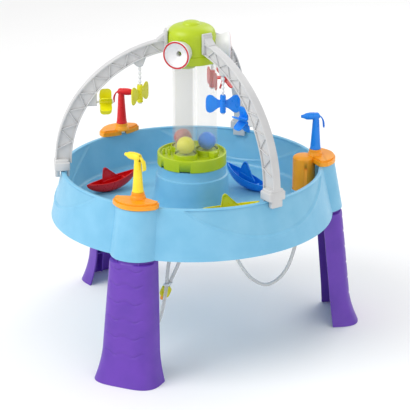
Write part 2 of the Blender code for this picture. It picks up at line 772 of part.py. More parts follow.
def make_arches():
    """A curved beam from a clip on the rim to a tab on the cap, with holders for its two toys."""
    tab = CAP_RADIUS + GAP
    steps = 12
    ends = [arch_turn(axes, tab + TAB_THICKNESS / 2) for axes in (ARCH_OUTER, ARCH_INNER)]
    outline = [arch_point(ARCH_OUTER, ends[0] * n / steps) for n in range(steps + 1)]
    outline += [arch_point(ARCH_INNER, ends[1] * n / steps) for n in range(steps, -1, -1)]
    beam = flat("arch_beam", outline, ARCH_WIDTH)
    half = CLIP_WIDTH / 2
    clip = box("arch_clip", (CLIP_INNER, -half, CLIP_BOTTOM), (CLIP_OUTER, half, CLIP_TOP))
    rounded(clip, 0.004, 1)
    half = TAB_WIDTH / 2
    hook = box("arch_tab", (tab, -half, TAB_BOTTOM), (tab + TAB_THICKNESS, half, TAB_TOP))
    boss_top = arch_point(ARCH_INNER, arch_turn(ARCH_INNER, SPINNER_PLACE))[1]
    rod_top = boss_top + 0.004
    boss_foot = boss_top - 0.012
    place = SPINNER_PLACE
    boss = rod("rod_boss", (place, 0, boss_foot), (place, 0, boss_top + 0.010), ROD_BOSS, sides=12)
    wheel_outer = WHEEL_INNER + WHEEL_WIDTH
    height = WHEEL_HEIGHT
    bracket_outline = [
        (BRACKET_INNER, height - 0.008),
        (BRACKET_INNER, height + 0.026),
        (BRACKET_INNER + 0.010, height + 0.032),
        (BRACKET_INNER + 0.026, height + 0.020),
        (BRACKET_INNER + 0.032, height - 0.008),
    ]
    bracket = flat("wheel_bracket", bracket_outline, BRACKET_WIDTH)
    bore_end = BRACKET_INNER + 0.016
    nearest = math.sqrt(wall_radius(CLIP_BOTTOM) ** 2 - (CLIP_WIDTH / 2) ** 2)
    slot_low = nearest - FACET_GAP
    slot_high = skirt_radius(CLIP_BOTTOM, 0) + GAP
    slot = box("rim_slot", (slot_low, -0.04, CLIP_BOTTOM - 0.02), (slot_high, 0.04, RIM_HEIGHT + GAP))
    rod_bore = rod(
        "rod_bore", (place, 0, boss_foot - 0.01), (place, 0, rod_top), ROD_RADIUS + GAP, sides=8
    )
    ends = (BRACKET_INNER - 0.01, 0, height), (bore_end, 0, height)
    axle_bore = rod("axle_bore", *ends, AXLE_RADIUS + GAP, sides=8)
    combined(beam, [clip, hook, boss, bracket])
    combined(beam, [slot, rod_bore, axle_bore], "DIFFERENCE")
    arch = baked(beam, "arch")

    spinner_foot = SPINNER_BOTTOM - GAP
    rod_profile = [
        (0, rod_top - GAP),
        (ROD_RADIUS, rod_top - GAP),
        (ROD_RADIUS, spinner_foot),
        (ROD_HEAD, spinner_foot),
        (ROD_HEAD, spinner_foot - 0.0025),
        (0, spinner_foot - 0.004),
    ]
    spinner_rod = baked(turned("rod_shape", rod_profile, 8), "spinner_rod")
    inner_end = WHEEL_INNER - GAP
    axle_profile = [
        (0, bore_end - GAP - inner_end),
        (AXLE_RADIUS, bore_end - GAP - inner_end),
        (AXLE_RADIUS, 0),
        (AXLE_HEAD, 0),
        (AXLE_HEAD, -0.0025),
        (0, -0.004),
    ]
    axle = baked(turned("axle_shape", axle_profile, 8), "wheel_axle")
    bow, wheel = bow_mesh(), wheel_mesh()
    toy_colours = {"left": "yellow", "right": "blue", "rear": "red"}
    for station in ARCH_STATIONS:
        frame = STATIONS[f"arch_{station}"]
        colour = toy_colours[station]
        add_part(f"arch_{station}", arch, "arch_grey", frame)
        add_part(f"spinner_rod_{station}", spinner_rod, "white", frame, (place, 0, 0))
        turn = (0, 0, BOW_TURN[station])
        add_part(f"bow_spinner_{station}", bow, colour, frame, (place, 0, SPINNER_BOTTOM), turn)
        add_part(f"wheel_axle_{station}", axle, "white", frame, (inner_end, 0, height), (0, 90, 0))
        wheel_place = add_empty(f"wheel_turn_{station}", (WHEEL_INNER, 0, height), 0, frame)
        wheel_place.rotation_euler = (math.radians(WHEEL_TURN[station]), 0, 0)
        add_part(f"paddle_wheel_{station}", wheel, colour, wheel_place, turn=(0, 90, 0))


def bow_mesh():
    """A hub on the rod with two fan-shaped wings."""
    height = SPINNER_HEIGHT
    hub = rod("bow_hub", (0, 0, 0), (0, 0, height - 0.001), SPINNER_HUB, sides=12)
    half, reach = height / 2, BOW_SPAN / 2
    wing = [(0, 0.42 * half), (0.22 * reach, 0.40 * half), (0.5 * reach, 0.72 * half)]
    wing += [(0.66 * reach, 0.97 * half), (0.78 * reach, half), (0.92 * reach, 0.84 * half)]
    wing += [(reach, 0.45 * half), (reach, 0)]
    right = wing + [(x, -z) for x, z in reversed(wing[:-1])]
    outline = [(x, z + half) for x, z in right]
    outline += [(-x, z + half) for x, z in reversed(right[1:-1])]
    wings = flat("bow_wings", outline, BOW_THICKNESS)
    bore = rod("bow_bore", (0, 0, -0.01), (0, 0, height + 0.01), ROD_RADIUS + SLIDE_GAP, sides=8)
    combined(hub, [wings])
    combined(hub, [bore], "DIFFERENCE")
    return baked(hub, "bow_spinner")


def wheel_mesh():
    """A hub along Z with blades whose outer corners are round."""
    width = WHEEL_WIDTH - GAP
    hub = rod("wheel_hub", (0, 0, 0), (0, 0, width), WHEEL_HUB, sides=12)
    corner = 0.009
    reach = WHEEL_RADIUS
    outline = [(0, 0.001), (reach - corner, 0.001)]
    for n in (1, 2):
        turn = math.radians(45 * n)
        outline.append((reach - corner + corner * math.sin(turn), 0.001 + corner * (1 - math.cos(turn))))
    outline += [(x, width - z) for x, z in reversed(outline)]
    blades = []
    for n in range(WHEEL_BLADES):
        blade = flat(f"blade_{n}", outline, BLADE_THICKNESS)
        blade.data.transform(Matrix.Rotation(math.radians(360 / WHEEL_BLADES * n), 4, "Z"))
        blades.append(blade)
    bore = rod("wheel_bore", (0, 0, -0.01), (0, 0, width + 0.01), AXLE_RADIUS + SLIDE_GAP, sides=8)
    combined(hub, blades)
    combined(hub, [bore], "DIFFERENCE")
    return baked(hub, "paddle_wheel")


# Pumps


def plate_outline():
    """The plate over a lobe: an outer arc, two round ends and an inner arc, as (x, y)."""
    half = PLATE_HALF_WIDTH
    outline = []
    for n in range(-4, 5):
        share = n / 4
        outline.append((PLATE_OUTER - 0.030 * abs(share) ** 2.2, half * share))
    outline += [(PLATE_OUTER - 0.038, half + 0.001), (RIM_RADIUS - 0.008, half - 0.002)]
    for n in range(2, -3, -1):
        share = n / 2
        outline.append((RIM_RADIUS - 0.026 + 0.010 * share * share, 0.8 * half * share))
    outline += [(RIM_RADIUS - 0.008, 0.002 - half), (PLATE_OUTER - 0.038, -half - 0.001)]
    return outline


def pump_mesh(has_barrel):
    """A plate on the rim with a collar that the squirter turns in, and a barrel or a riser under it."""
    rim = RIM_HEIGHT + GAP
    plate_top = rim + PLATE_THICKNESS
    collar_top = rim + COLLAR_HEIGHT
    plate = flat("pump_plate", plate_outline(), PLATE_THICKNESS, upright=False)
    plate.data.transform(Matrix.Translation((0, 0, rim + PLATE_THICKNESS / 2)))
    rounded(plate, 0.003, 1)
    axis = SWIVEL_PLACE
    step = collar_top - 0.009
    collar_profile = [
        (0, collar_top),
        (COLLAR_RADIUS - 0.001, collar_top),
        (COLLAR_RADIUS, step),
        (COLLAR_RADIUS + 0.002, step - 0.001),
        (COLLAR_RADIUS + 0.0035, plate_top - 0.006),
        (0, plate_top - 0.006),
    ]
    collar = turned("pump_collar", collar_profile, 16)
    collar.location.x = axis
    joins = [collar]
    spigot_low, spigot_high = (axis, 0, collar_top - SPIGOT_DEPTH - GAP), (axis, 0, collar_top + 0.01)
    cuts = [rod("spigot_bore", spigot_low, spigot_high, SPIGOT_RADIUS + 2 * SLIDE_GAP, sides=16)]
    if has_barrel:
        joins_below, cuts_below, bore_floor = barrel_pieces()
    else:
        joins_below, cuts_below, bore_floor = riser_pieces()
    joins += joins_below
    cuts += cuts_below
    bore_ends = (axis, 0, bore_floor), (axis, 0, collar_top)
    cuts.append(rod("piston_bore", *bore_ends, PISTON_BORE, sides=16))
    combined(plate, joins)
    combined(plate, cuts, "DIFFERENCE")
    return baked(plate, "pump_base")


def barrel_pieces():
    """The barrel with its port and intake: what is joined, what is cut and the piston bore's floor."""
    rim = RIM_HEIGHT + GAP
    foot = FLOOR_HEIGHT + 0.0008
    well = BARREL_PLACE
    profile = [
        (0, BARREL_TOP + 0.004),
        (BARREL_RADIUS - 0.008, BARREL_TOP + 0.003),
        (BARREL_RADIUS - 0.002, BARREL_TOP - 0.001),
        (BARREL_RADIUS, BARREL_TOP - 0.006),
        (BARREL_RADIUS, foot),
        (0, foot),
    ]
    barrel = turned("pump_barrel", profile, 20)
    barrel.location.x = well
    port = rod("pump_port", (well, 0, foot - PORT_LENGTH), (well, 0, foot + 0.001), BARB_RADIUS, sides=8)
    floor = foot + BARREL_WALL
    inner = BARREL_RADIUS - BARREL_WALL
    hollow = rod("barrel_hollow", (well, 0, floor), (well, 0, rim - 0.003), inner, sides=14)
    port_bore = rod("port_bore", (well, 0, foot - 0.04), (well, 0, floor + 0.001), WATER_BORE, sides=8)
    side = INTAKE_SIDE / 2
    intake_low = (well - side, -BARREL_RADIUS - 0.01, RIM_HEIGHT - 0.018)
    intake_high = (well + side, -BARREL_RADIUS + 0.01, RIM_HEIGHT - 0.018 + INTAKE_SIDE)
    intake = box("pump_intake", intake_low, intake_high)
    return [barrel, port], [hollow, port_bore, intake], rim - 0.006


def riser_pieces():
    """The port under a plate with no barrel, its channel, and an intake over the water."""
    rim = RIM_HEIGHT + GAP
    place = RISER_PLACE
    port = rod("pump_port", (place, 0, rim - PORT_LENGTH), (place, 0, rim + 0.001), BARB_RADIUS, sides=8)
    level = rim + 0.0060
    port_bore = rod("port_bore", (place, 0, rim - 0.04), (place, 0, level), WATER_BORE, sides=8)
    channel_ends = (SWIVEL_PLACE, 0, level), (place, 0, level)
    channel = rod("port_channel", *channel_ends, CHANNEL_BORE, sides=8)
    inward = SWIVEL_PLACE - 0.6 * PISTON_BORE
    intake_ends = (inward, 0, rim - 0.01), (inward, 0, rim + 0.0035)
    intake = rod("pump_intake", *intake_ends, CHANNEL_BORE, sides=8)
    bore_floor = rim + PISTON_REST - PISTON_TRAVEL - 2 * SLIDE_GAP
    return [port], [port_bore, channel, intake], bore_floor


def make_pumps():
    """The pumps, their squirters with a trigger each, and the plungers and springs inside them."""
    rim = RIM_HEIGHT + GAP
    collar_top = rim + COLLAR_HEIGHT
    axis = SWIVEL_PLACE
    squirter = squirter_mesh(collar_top)
    trigger = trigger_mesh()
    piston_foot = rim + PISTON_REST
    plunger = plunger_mesh(piston_foot)
    spring = spring_mesh(collar_top)
    colours = {"front": "yellow", "right": "blue", "left": "red"}
    for station, angle in LEG_STATIONS.items():
        frame = STATIONS[station]
        colour = colours[station]
        pump = pump_mesh(station == BARREL_STATION)
        add_part(f"pump_base_{station}", pump, "orange", frame)
        turn = SQUIRTER_AIM[station] - angle
        swivel = add_empty(f"swivel_{station}", (axis, 0, 0), turn, frame)
        add_part(f"squirter_{station}", squirter, colour, swivel)
        pivot = (TRIGGER_PIVOT[0], 0, TRIGGER_PIVOT[1])
        add_part(f"trigger_{station}", trigger, colour, swivel, pivot)
        add_part(f"plunger_{station}", plunger, "white", swivel)
        add_part(f"return_spring_{station}", spring, "steel", swivel)


def squirter_mesh(collar_top):
    """A tapered stem with a beak for a nozzle. Its spigot turns in the pump's collar."""
    spigot_foot = collar_top - SPIGOT_DEPTH
    stem_foot = collar_top + GAP
    height = HEAD_HEIGHT
    stem_profile = [
        (0, height),
        (STEM_TOP_RADIUS - 0.0006, height),
        (STEM_TOP_RADIUS, STEM_TOP),
        (STEM_FOOT_RADIUS, stem_foot),
        (SPIGOT_RADIUS, stem_foot),
        (SPIGOT_RADIUS, spigot_foot),
        (0, spigot_foot),
    ]
    stem = turned("squirter_stem", stem_profile, 14)
    back = -0.002
    head_profile = [(0, NOZZLE_REACH), (NOZZLE_TIP, NOZZLE_REACH), (HEAD_RADIUS, HEAD_LENGTH)]
    for n in range(4):
        turn = math.radians(30 * n)
        across = HEAD_RADIUS * math.cos(turn) if n < 3 else 0
        head_profile.append((across, back - HEAD_RADIUS * math.sin(turn)))
    head = turned("squirter_head", head_profile, 12)
    head.location.z = height
    head.rotation_euler.y = math.radians(90)
    half = TRIGGER_HALF_WIDTH + GAP
    slot_low, slot_high = (-0.025, -half, height - 0.011), (0.0145, half, height + 0.0065)
    slot = box("trigger_slot", slot_low, slot_high)
    rod_bore = rod("stem_bore", (0, 0, spigot_foot - 0.01), (0, 0, height - 0.008), STEM_BORE, sides=10)
    ledge = spigot_foot + 0.004
    spring_bore = rod("spring_bore", (0, 0, ledge), (0, 0, SPRING_TOP + 0.005), SPRING_BORE, sides=12)
    x, z = TRIGGER_PIVOT
    pin_hole = rod("pin_hole", (x, -0.02, z), (x, 0.02, z), PIN_RADIUS + SLIDE_GAP, sides=8)
    nozzle_ends = (NOZZLE_REACH - 0.016, 0, height), (NOZZLE_REACH + 0.01, 0, height)
    nozzle = rod("nozzle_bore", *nozzle_ends, NOZZLE_BORE, sides=8)
    combined(stem, [head])
    combined(stem, [slot, rod_bore, spring_bore, pin_hole, nozzle], "DIFFERENCE")
    return baked(stem, "squirter")


def strip(points, thickness):
    """The outline of a strip that follows points."""
    points = [Vector(p) for p in points]
    sides = ([], [])
    for n, point in enumerate(points):
        ahead = points[min(n + 1, len(points) - 1)] - points[max(n - 1, 0)]
        across = Vector((-ahead.y, ahead.x)).normalized() * thickness / 2
        sides[0].append(tuple(point + across))
        sides[1].append(tuple(point - across))
    return sides[0] + sides[1][::-1]


def trigger_mesh():
    """A lever on a cross pin. It runs back over the plunger and hangs down behind the stem."""
    knots = [(0.001, 0, 0), (-0.013, 0, 0.0003), (-0.0235, 0, -0.0035), (-0.0290, 0, -0.013)]
    knots += [(-0.0305, 0, -0.033)]
    path = [(p.x, p.z) for p in smooth_path(knots, 0.009)]
    width = 2 * TRIGGER_HALF_WIDTH
    lever = flat("trigger_lever", strip(path, TRIGGER_THICKNESS), width)
    half = TRIGGER_HALF_WIDTH
    hub = rod("trigger_hub", (0, -half, 0), (0, half, 0), 0.0030, sides=10)
    reach = half + 0.0040
    pin = rod("trigger_pin", (0, -reach, 0), (0, reach, 0), PIN_RADIUS, sides=8)
    combined(lever, [hub, pin])
    return baked(lever, "trigger")


def plunger_mesh(foot):
    """A rod from under the trigger to the piston in the pump's bore, with a collar for the spring."""
    top = TRIGGER_PIVOT[1] - TRIGGER_THICKNESS / 2 - GAP - 0.0001
    piston_top = foot + PISTON_HEIGHT
    piston = PISTON_BORE - SLIDE_GAP
    seat = SPRING_TOP + GAP
    ring = SPRING_BORE - SLIDE_GAP - 0.0006
    profile = [
        (0, top),
        (ROD_OF_PLUNGER, top - 0.001),
        (ROD_OF_PLUNGER, seat + 0.0015),
        (ring, seat + 0.0015),
        (ring, seat),
        (ROD_OF_PLUNGER, seat),
        (ROD_OF_PLUNGER, piston_top),
        (piston, piston_top),
        (piston, foot),
        (0, foot),
    ]
    return baked(turned("plunger_shape", profile, 12), "plunger")


def spring_mesh(collar_top):
    """A compression spring between the stem's ledge and the plunger's collar."""
    ledge = collar_top - SPIGOT_DEPTH + 0.004 + GAP + SPRING_WIRE
    height = SPRING_TOP - SPRING_WIRE - ledge
    radius = (ROD_OF_PLUNGER + SPRING_BORE) / 2
    points = []
    per_turn = 8
    for n in range(SPRING_TURNS * per_turn + 1):
        turn = 2 * math.pi * n / per_turn
        rise = height * n / (SPRING_TURNS * per_turn)
        points.append((radius * math.cos(turn), radius * math.sin(turn), ledge + rise))
    curve = pipe("spring_wire", points, SPRING_WIRE, 0)
    drawn = bpy.data.objects.new("spring_wire", curve)
    HELPERS.objects.link(drawn)
    mesh = baked(drawn, "return_spring")
    bpy.data.objects.remove(drawn)
    return mesh


# Hoses: points chosen by hand in each leg's frame, as (x, y, z)

HOSE_ROUTES = {
    "front": [
        (0.040, 0.000, 0.4374),
        (0.040, 0.000, 0.4180),
        (0.049, 0.000, 0.370),
        (0.092, 0.000, 0.300),
        (0.149, 0.000, 0.228),
        (0.171, 0.000, 0.152),
        (0.207, 0.000, 0.093),
        (0.250, 0.000, 0.082),
        (0.292, 0.000, 0.112),
        (0.322, 0.000, 0.180),
        (0.344, 0.000, 0.265),
        (0.356, 0.000, 0.345),
        (0.356, 0.000, 0.4060),
        (0.356, 0.000, 0.4259),
    ],
    "right": [
        (0.040, 0.000, 0.4374),
        (0.040, 0.000, 0.4180),
        (0.045, 0.000, 0.370),
        (0.066, 0.000, 0.290),
        (0.112, 0.000, 0.195),
        (0.145, 0.000, 0.137),
        (0.172, 0.000, 0.109),
        (0.203, 0.000, 0.097),
        (0.235, 0.000, 0.112),
        (0.262, 0.000, 0.149),
        (0.282, 0.000, 0.215),
        (0.300, 0.000, 0.3080),
        (0.300, 0.000, 0.3264),
    ],
    "left": [
        (0.040, 0.000, 0.4374),
        (0.040, 0.000, 0.4180),
        (0.048, 0.000, 0.370),
        (0.075, 0.000, 0.300),
        (0.125, 0.000, 0.240),
        (0.185, 0.000, 0.200),
        (0.245, 0.000, 0.197),
        (0.300, 0.000, 0.226),
        (0.339, 0.000, 0.280),
        (0.356, 0.000, 0.345),
        (0.356, 0.000, 0.4060),
        (0.356, 0.000, 0.4259),
    ],
}
DRAIN_ROUTE = [
    (0.140, 0.040, 0.3289),
    (0.140, 0.040, 0.3100),
    (0.144, 0.036, 0.270),
    (0.149, 0.027, 0.228),
    (0.150, 0.011, 0.190),
    (0.150, -0.003, 0.1600),
]
CLIP_HEIGHT = 0.170
VALVE_DIRECTION = (0.0, -0.40, -0.92)


def make_hoses():
    """Hoses that hang between the tower's barbs and the pumps' ports, and a drain hose with its valve."""
    for station, route in HOSE_ROUTES.items():
        add_hose(f"pump_hose_{station}", route, STATIONS[station])


def add_hose(name, route, frame):
    points = smooth_path(route, 0.022)
    hose = bpy.data.objects.new(name, pipe(name, points, HOSE_RADIUS, 2))
    PARTS.objects.link(hose)
    hose.parent = frame
    hose.data.materials.append(material(name, "hose"))


def at_height(route, height):
    """Where a hose's path first passes below a height, and its direction there."""
    path = smooth_path(route, 0.004)
    n = next(n for n, point in enumerate(path) if point.z < height)
    return path[n], (path[n + 1] - path[n - 1]).normalized()


def make_drain():
    frame = STATIONS["front"]
    add_hose("drain_hose", DRAIN_ROUTE, frame)
    end = Vector(DRAIN_ROUTE[-1])
    along = Vector(VALVE_DIRECTION).normalized()
    valve_top = end + along * 2 * GAP
    body = rod("valve_body", valve_top, valve_top + along * 0.030, 0.0135, sides=12)
    rounded(body, 0.003, 1)
    add_part("drain_valve", baked(body, "drain_valve"), "yellow", frame)
    cap_top = valve_top + along * (0.030 + GAP)
    cap = rod("drain_cap_shape", cap_top, cap_top + along * 0.013, 0.0085, 0.0070, sides=12)
    add_part("drain_cap", baked(cap, "drain_cap"), "orange", frame)
    crossings = [at_height(route, CLIP_HEIGHT) for route in (HOSE_ROUTES["front"], DRAIN_ROUTE)]
    edge, half = HOSE_RADIUS + 0.0035, 0.0035
    places = [point for point, _ in crossings]
    low = [min(place[i] for place in places) - edge for i in (0, 1)]
    high = [max(place[i] for place in places) + edge for i in (0, 1)]
    clip = box("clip_block", (*low, CLIP_HEIGHT - half), (*high, CLIP_HEIGHT + half))
    rounded(clip, 0.003, 1)
    holes = []
    for n, (point, along) in enumerate(crossings):
        ends = point - along * 0.02, point + along * 0.02
        holes.append(rod(f"clip_hole_{n}", *ends, HOSE_RADIUS + 0.0012, sides=12))
    combined(clip, holes, "DIFFERENCE")
    add_part("hose_clip", baked(clip, "hose_clip"), "white", frame)


# Boats


def hull(name, length, beam, depth, top):
    """A double-ended hull with a round bottom and a flat or raised top."""
    rows = []
    stations = 9
    for n in range(stations):
        share = 2 * n / (stations - 1) - 1
        along = math.sin(share * math.pi / 2) * length / 2
        full = 1 - (2 * along / length) ** 2
        half = max(0.0012, beam / 2 * full**0.85)
        deep = depth * (0.12 + 0.88 * full**0.6)
        lift = BOAT_SHEER * (1 - full)
        row = [(along, half, top + lift), (along, half, lift)]
        for step in range(1, 4):
            turn = math.radians(45 * step)
            row.append((along, half * math.cos(turn), lift - deep * math.sin(turn) ** 0.8))
        row += [(along, -half, lift), (along, -half, top + lift)]
        rows.append(row)
    shape = bmesh.new()
    grid = [[shape.verts.new(point) for point in row] for row in rows]
    for lower, upper in zip(grid, grid[1:]):
        for i in range(len(lower)):
            j = (i + 1) % len(lower)
            shape.faces.new((lower[i], lower[j], upper[j], upper[i]))
    shape.faces.new(grid[0])
    shape.faces.new(grid[-1])
    bmesh.ops.recalc_face_normals(shape, faces=shape.faces)
    return helper(name, mesh_from(name, shape))


def make_boats():
    """Small open boats with a fin, resting on the basin's floor."""
    outer = hull("hull_outer", BOAT_LENGTH, BOAT_BEAM, BOAT_DEPTH, 0.001)
    wall = BOAT_WALL
    inner = hull("hull_inner", BOAT_LENGTH - 8 * wall, BOAT_BEAM - 2 * wall, BOAT_DEPTH - wall, 0.02)
    combined(outer, [inner], "DIFFERENCE")
    half = FIN_LENGTH / 2
    outline = [(-half, -0.003), (-half + 0.001, 0.006), (-half + 0.007, 0.86 * FIN_HEIGHT)]
    outline += [(-half + 0.010, 0.97 * FIN_HEIGHT), (-half + 0.014, FIN_HEIGHT)]
    outline += [(-half + 0.019, 0.96 * FIN_HEIGHT), (-half + 0.036, 0.50 * FIN_HEIGHT)]
    outline += [(half - 0.010, 0.16 * FIN_HEIGHT), (half, -0.003)]
    outline += [(half - 0.008, 0.003 - BOAT_DEPTH), (0.008 - half, 0.003 - BOAT_DEPTH)]
    fin = flat("boat_fin", outline, FIN_THICKNESS)
    combined(outer, [fin])
    mesh = baked(outer, "boat")
    for colour, (place, heading, pitch) in BOATS.items():
        turn = Matrix.Rotation(math.radians(heading), 4, "Z") @ Matrix.Rotation(
            math.radians(-pitch), 4, "Y"
        )
        lowest = min((turn @ v.co).z for v in mesh.vertices)
        height = FLOOR_HEIGHT + GAP - lowest
        boat = add_part(f"boat_{colour}", mesh, colour)
        boat.matrix_world = Matrix.Translation((place[0], place[1] + AXIS_Y, height)) @ turn


for old in list(bpy.data.objects):
    bpy.data.objects.remove(old)
PARTS = collection("sand_water_table")
HELPERS = collection("cutters")
TOWER = add_empty("tower_axis", (0, AXIS_Y, 0), 0)
STATIONS = {name: add_empty(f"leg_frame_{name}", (0, AXIS_Y, 0), a) for name, a in LEG_STATIONS.items()}
for name, a in ARCH_STATIONS.items():
    STATIONS[f"arch_{name}"] = add_empty(f"arch_frame_{name}", (0, AXIS_Y, 0), a)
make_basin()
make_legs()
make_tower_base()
make_tubes()
make_cap()
make_targets()
make_arches()
make_pumps()
make_hoses()
make_drain()
make_boats()
HELPERS.hide_render = True
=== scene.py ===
"""Looks for the sand and water table: fine surfaces, plastics, hoses, floor, light and camera.

Metres, +Z up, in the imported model's own frame. A station is a leg with its pump or an arch, and its
pieces are shaped in a frame whose X runs out from the tower's axis and whose Y runs along the rim.
"""

import math

import bpy
from mathutils import Matrix, Vector


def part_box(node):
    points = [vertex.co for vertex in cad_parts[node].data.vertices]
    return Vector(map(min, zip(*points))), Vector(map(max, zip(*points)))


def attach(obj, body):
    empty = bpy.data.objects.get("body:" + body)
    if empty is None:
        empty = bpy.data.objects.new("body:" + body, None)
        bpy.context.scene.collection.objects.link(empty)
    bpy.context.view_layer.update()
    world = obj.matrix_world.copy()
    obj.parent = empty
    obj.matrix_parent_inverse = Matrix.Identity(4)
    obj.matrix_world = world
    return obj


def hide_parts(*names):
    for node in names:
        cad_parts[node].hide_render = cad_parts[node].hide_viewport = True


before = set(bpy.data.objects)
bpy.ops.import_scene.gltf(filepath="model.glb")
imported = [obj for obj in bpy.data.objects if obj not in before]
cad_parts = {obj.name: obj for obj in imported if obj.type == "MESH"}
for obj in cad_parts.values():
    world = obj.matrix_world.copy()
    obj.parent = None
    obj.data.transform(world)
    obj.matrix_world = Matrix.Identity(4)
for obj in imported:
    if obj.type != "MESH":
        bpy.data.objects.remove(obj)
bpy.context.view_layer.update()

# Places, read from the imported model
CAP_LOW, CAP_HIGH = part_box("tower_cap")
AXIS = Vector((0.0, (CAP_LOW[1] + CAP_HIGH[1]) / 2, 0.0))

LEGS = {"front": 270.0, "right": 30.0, "left": 150.0}
ARCHES = {"left": 210.0, "right": 330.0, "rear": 90.0}
AIMS = {"front": 165.0, "right": 210.0, "left": 14.0}
BOW_TURNS = {"left": 56.0, "right": 54.0, "rear": 40.0}
WHEEL_TURNS = {"left": 0.0, "right": 12.0, "rear": 20.0}
LEG_COLOURS = {"front": "yellow", "right": "blue", "left": "red"}
ARCH_COLOURS = {"left": "yellow", "right": "blue", "rear": "red"}
BOATS = {
    "red": ((-0.229, -0.016), 54.0, 8.0),
    "blue": ((0.100, 0.143), -17.0, -15.0),
    "yellow": ((0.150, -0.088), 36.0, 3.0),
}

RIM = 0.450
RIM_RADIUS = 0.345
SKIRT_RADIUS = 0.374
SKIRT_BOTTOM = 0.322
FLOOR = 0.350
FLOOR_RADIUS = 0.315
WALL = 0.0028
GAP = 0.0003
LOBE_ANGLE = 9.4
BARREL_STATION = "right"
WELL = 0.300
RISER = 0.356
PANEL_ANGLE = 40.0
PANEL_DROP = 0.084


# Making pieces


def edit(piece=None):
    """Edit mode on one piece, with all of it selected."""
    if piece is not None:
        bpy.ops.object.select_all(action="DESELECT")
        piece.select_set(True)
        bpy.context.view_layer.objects.active = piece
    bpy.ops.object.mode_set(mode="EDIT")
    bpy.ops.mesh.select_all(action="SELECT")


def done(angle=30.0):
    """Back to object mode, shaded smooth up to an angle in degrees."""
    bpy.ops.object.mode_set(mode="OBJECT")
    piece = bpy.context.object
    bpy.ops.object.select_all(action="DESELECT")
    piece.select_set(True)
    bpy.ops.object.shade_smooth_by_angle(angle=math.radians(angle))
    return piece


def closed_up():
    """Merges doubles and turns the faces out, in edit mode."""
    bpy.ops.mesh.select_all(action="SELECT")
    bpy.ops.mesh.remove_doubles(threshold=1e-6)
    bpy.ops.mesh.normals_make_consistent(inside=False)


def drawn(name, points, loop=False):
    """A line drawn from one point, extruded on to the next; it stays in edit mode."""
    bpy.ops.object.select_all(action="DESELECT")
    bpy.ops.mesh.primitive_plane_add(size=0.01)
    bpy.context.object.name = name
    bpy.ops.object.mode_set(mode="EDIT")
    bpy.ops.mesh.merge(type="CENTER")
    bpy.ops.transform.translate(value=points[0])
    if loop:
        points = [*points, points[0]]
    for start, end in zip(points, points[1:]):
        step = Vector(end) - Vector(start)
        bpy.ops.mesh.extrude_vertices_move(TRANSFORM_OT_translate={"value": step})
    bpy.ops.mesh.select_all(action="SELECT")


def turned(name, profile, steps=72, loop=False, angle=30.0):
    """A round piece spun about Z from (radius, height) points."""
    drawn(name, [(radius, 0, height) for radius, height in profile], loop)
    bpy.ops.mesh.spin(steps=steps, angle=2 * math.pi, center=(0, 0, 0), axis=(0, 0, 1))
    closed_up()
    return done(angle)


def cut_out(name, outline, thickness, angle=30.0):
    """A flat piece: an outline in XZ, filled and pulled to its thickness along Y."""
    drawn(name, [(x, -thickness / 2, z) for x, z in outline], loop=True)
    bpy.ops.mesh.remove_doubles(threshold=1e-6)
    bpy.ops.mesh.edge_face_add()
    bpy.ops.mesh.extrude_region_move(TRANSFORM_OT_translate={"value": (0, thickness, 0)})
    closed_up()
    return done(angle)


def laid_flat(piece):
    """Turns an outline drawn in XZ down into XY, its thickness along Z."""
    piece.data.transform(Matrix.Rotation(math.radians(-90), 4, "X"))
    piece.data.transform(Matrix.Scale(-1, 4, (0, 1, 0)))
    piece.data.flip_normals()
    return piece


def block(name, low, high, edge=0.001, segments=2):
    """A box between two corners with rounded edges."""
    bpy.ops.object.select_all(action="DESELECT")
    middle = [(a + b) / 2 for a, b in zip(low, high)]
    bpy.ops.mesh.primitive_cube_add(size=1, location=middle)
    piece = bpy.context.object
    piece.name = name
    bpy.ops.transform.resize(value=[b - a for a, b in zip(low, high)])
    bpy.ops.object.transform_apply(location=True, rotation=True, scale=True)
    edit(piece)
    bpy.ops.mesh.bevel(offset=edge, segments=segments, affect="EDGES")
    closed_up()
    return done(50.0)


def bar(name, start, end, radius, end_radius=None, sides=48):
    """A round bar or cone between two points."""
    start, end = Vector(start), Vector(end)
    along = end - start
    bpy.ops.object.select_all(action="DESELECT")
    bpy.ops.mesh.primitive_cone_add(
        vertices=sides,
        radius1=radius,
        radius2=radius if end_radius is None else end_radius,
        depth=along.length,
    )
    piece = bpy.context.object
    piece.name = name
    turn = along.to_track_quat("Z", "Y").to_matrix().to_4x4()
    piece.data.transform(Matrix.Translation((start + end) / 2) @ turn)
    edit(piece)
    closed_up()
    return done()


def woven(name, columns, rows, place, angle=30.0, caps=False):
    """A grid primitive whose points are put where place(column, row) says."""
    bpy.ops.object.select_all(action="DESELECT")
    bpy.ops.mesh.primitive_grid_add(x_subdivisions=columns, y_subdivisions=rows, size=2)
    piece = bpy.context.object
    piece.name = name
    for point in piece.data.vertices:
        column = round((point.co.x + 1) / 2 * columns)
        row = round((point.co.y + 1) / 2 * rows)
        point.co = place(column, row)
    edit(piece)
    bpy.ops.mesh.remove_doubles(threshold=1e-6)
    if caps:
        bpy.ops.mesh.select_all(action="DESELECT")
        bpy.ops.mesh.select_non_manifold()
        bpy.ops.mesh.edge_face_add()
    closed_up()
    return done(angle)


def shaped(piece, kind, **settings):
    """Adds a modifier with its settings and applies it."""
    bpy.ops.object.select_all(action="DESELECT")
    piece.select_set(True)
    bpy.context.view_layer.objects.active = piece
    step = piece.modifiers.new(kind.lower(), kind)
    for setting, value in settings.items():
        setattr(step, setting, value)
    bpy.ops.object.modifier_apply(modifier=step.name)
    return piece


def rounded(piece, width, segments=2, angle=40.0):
    shaped(
        piece,
        "BEVEL",
        width=width,
        segments=segments,
        limit_method="ANGLE",
        angle_limit=math.radians(angle),
    )
    edit(piece)
    return done(50.0)


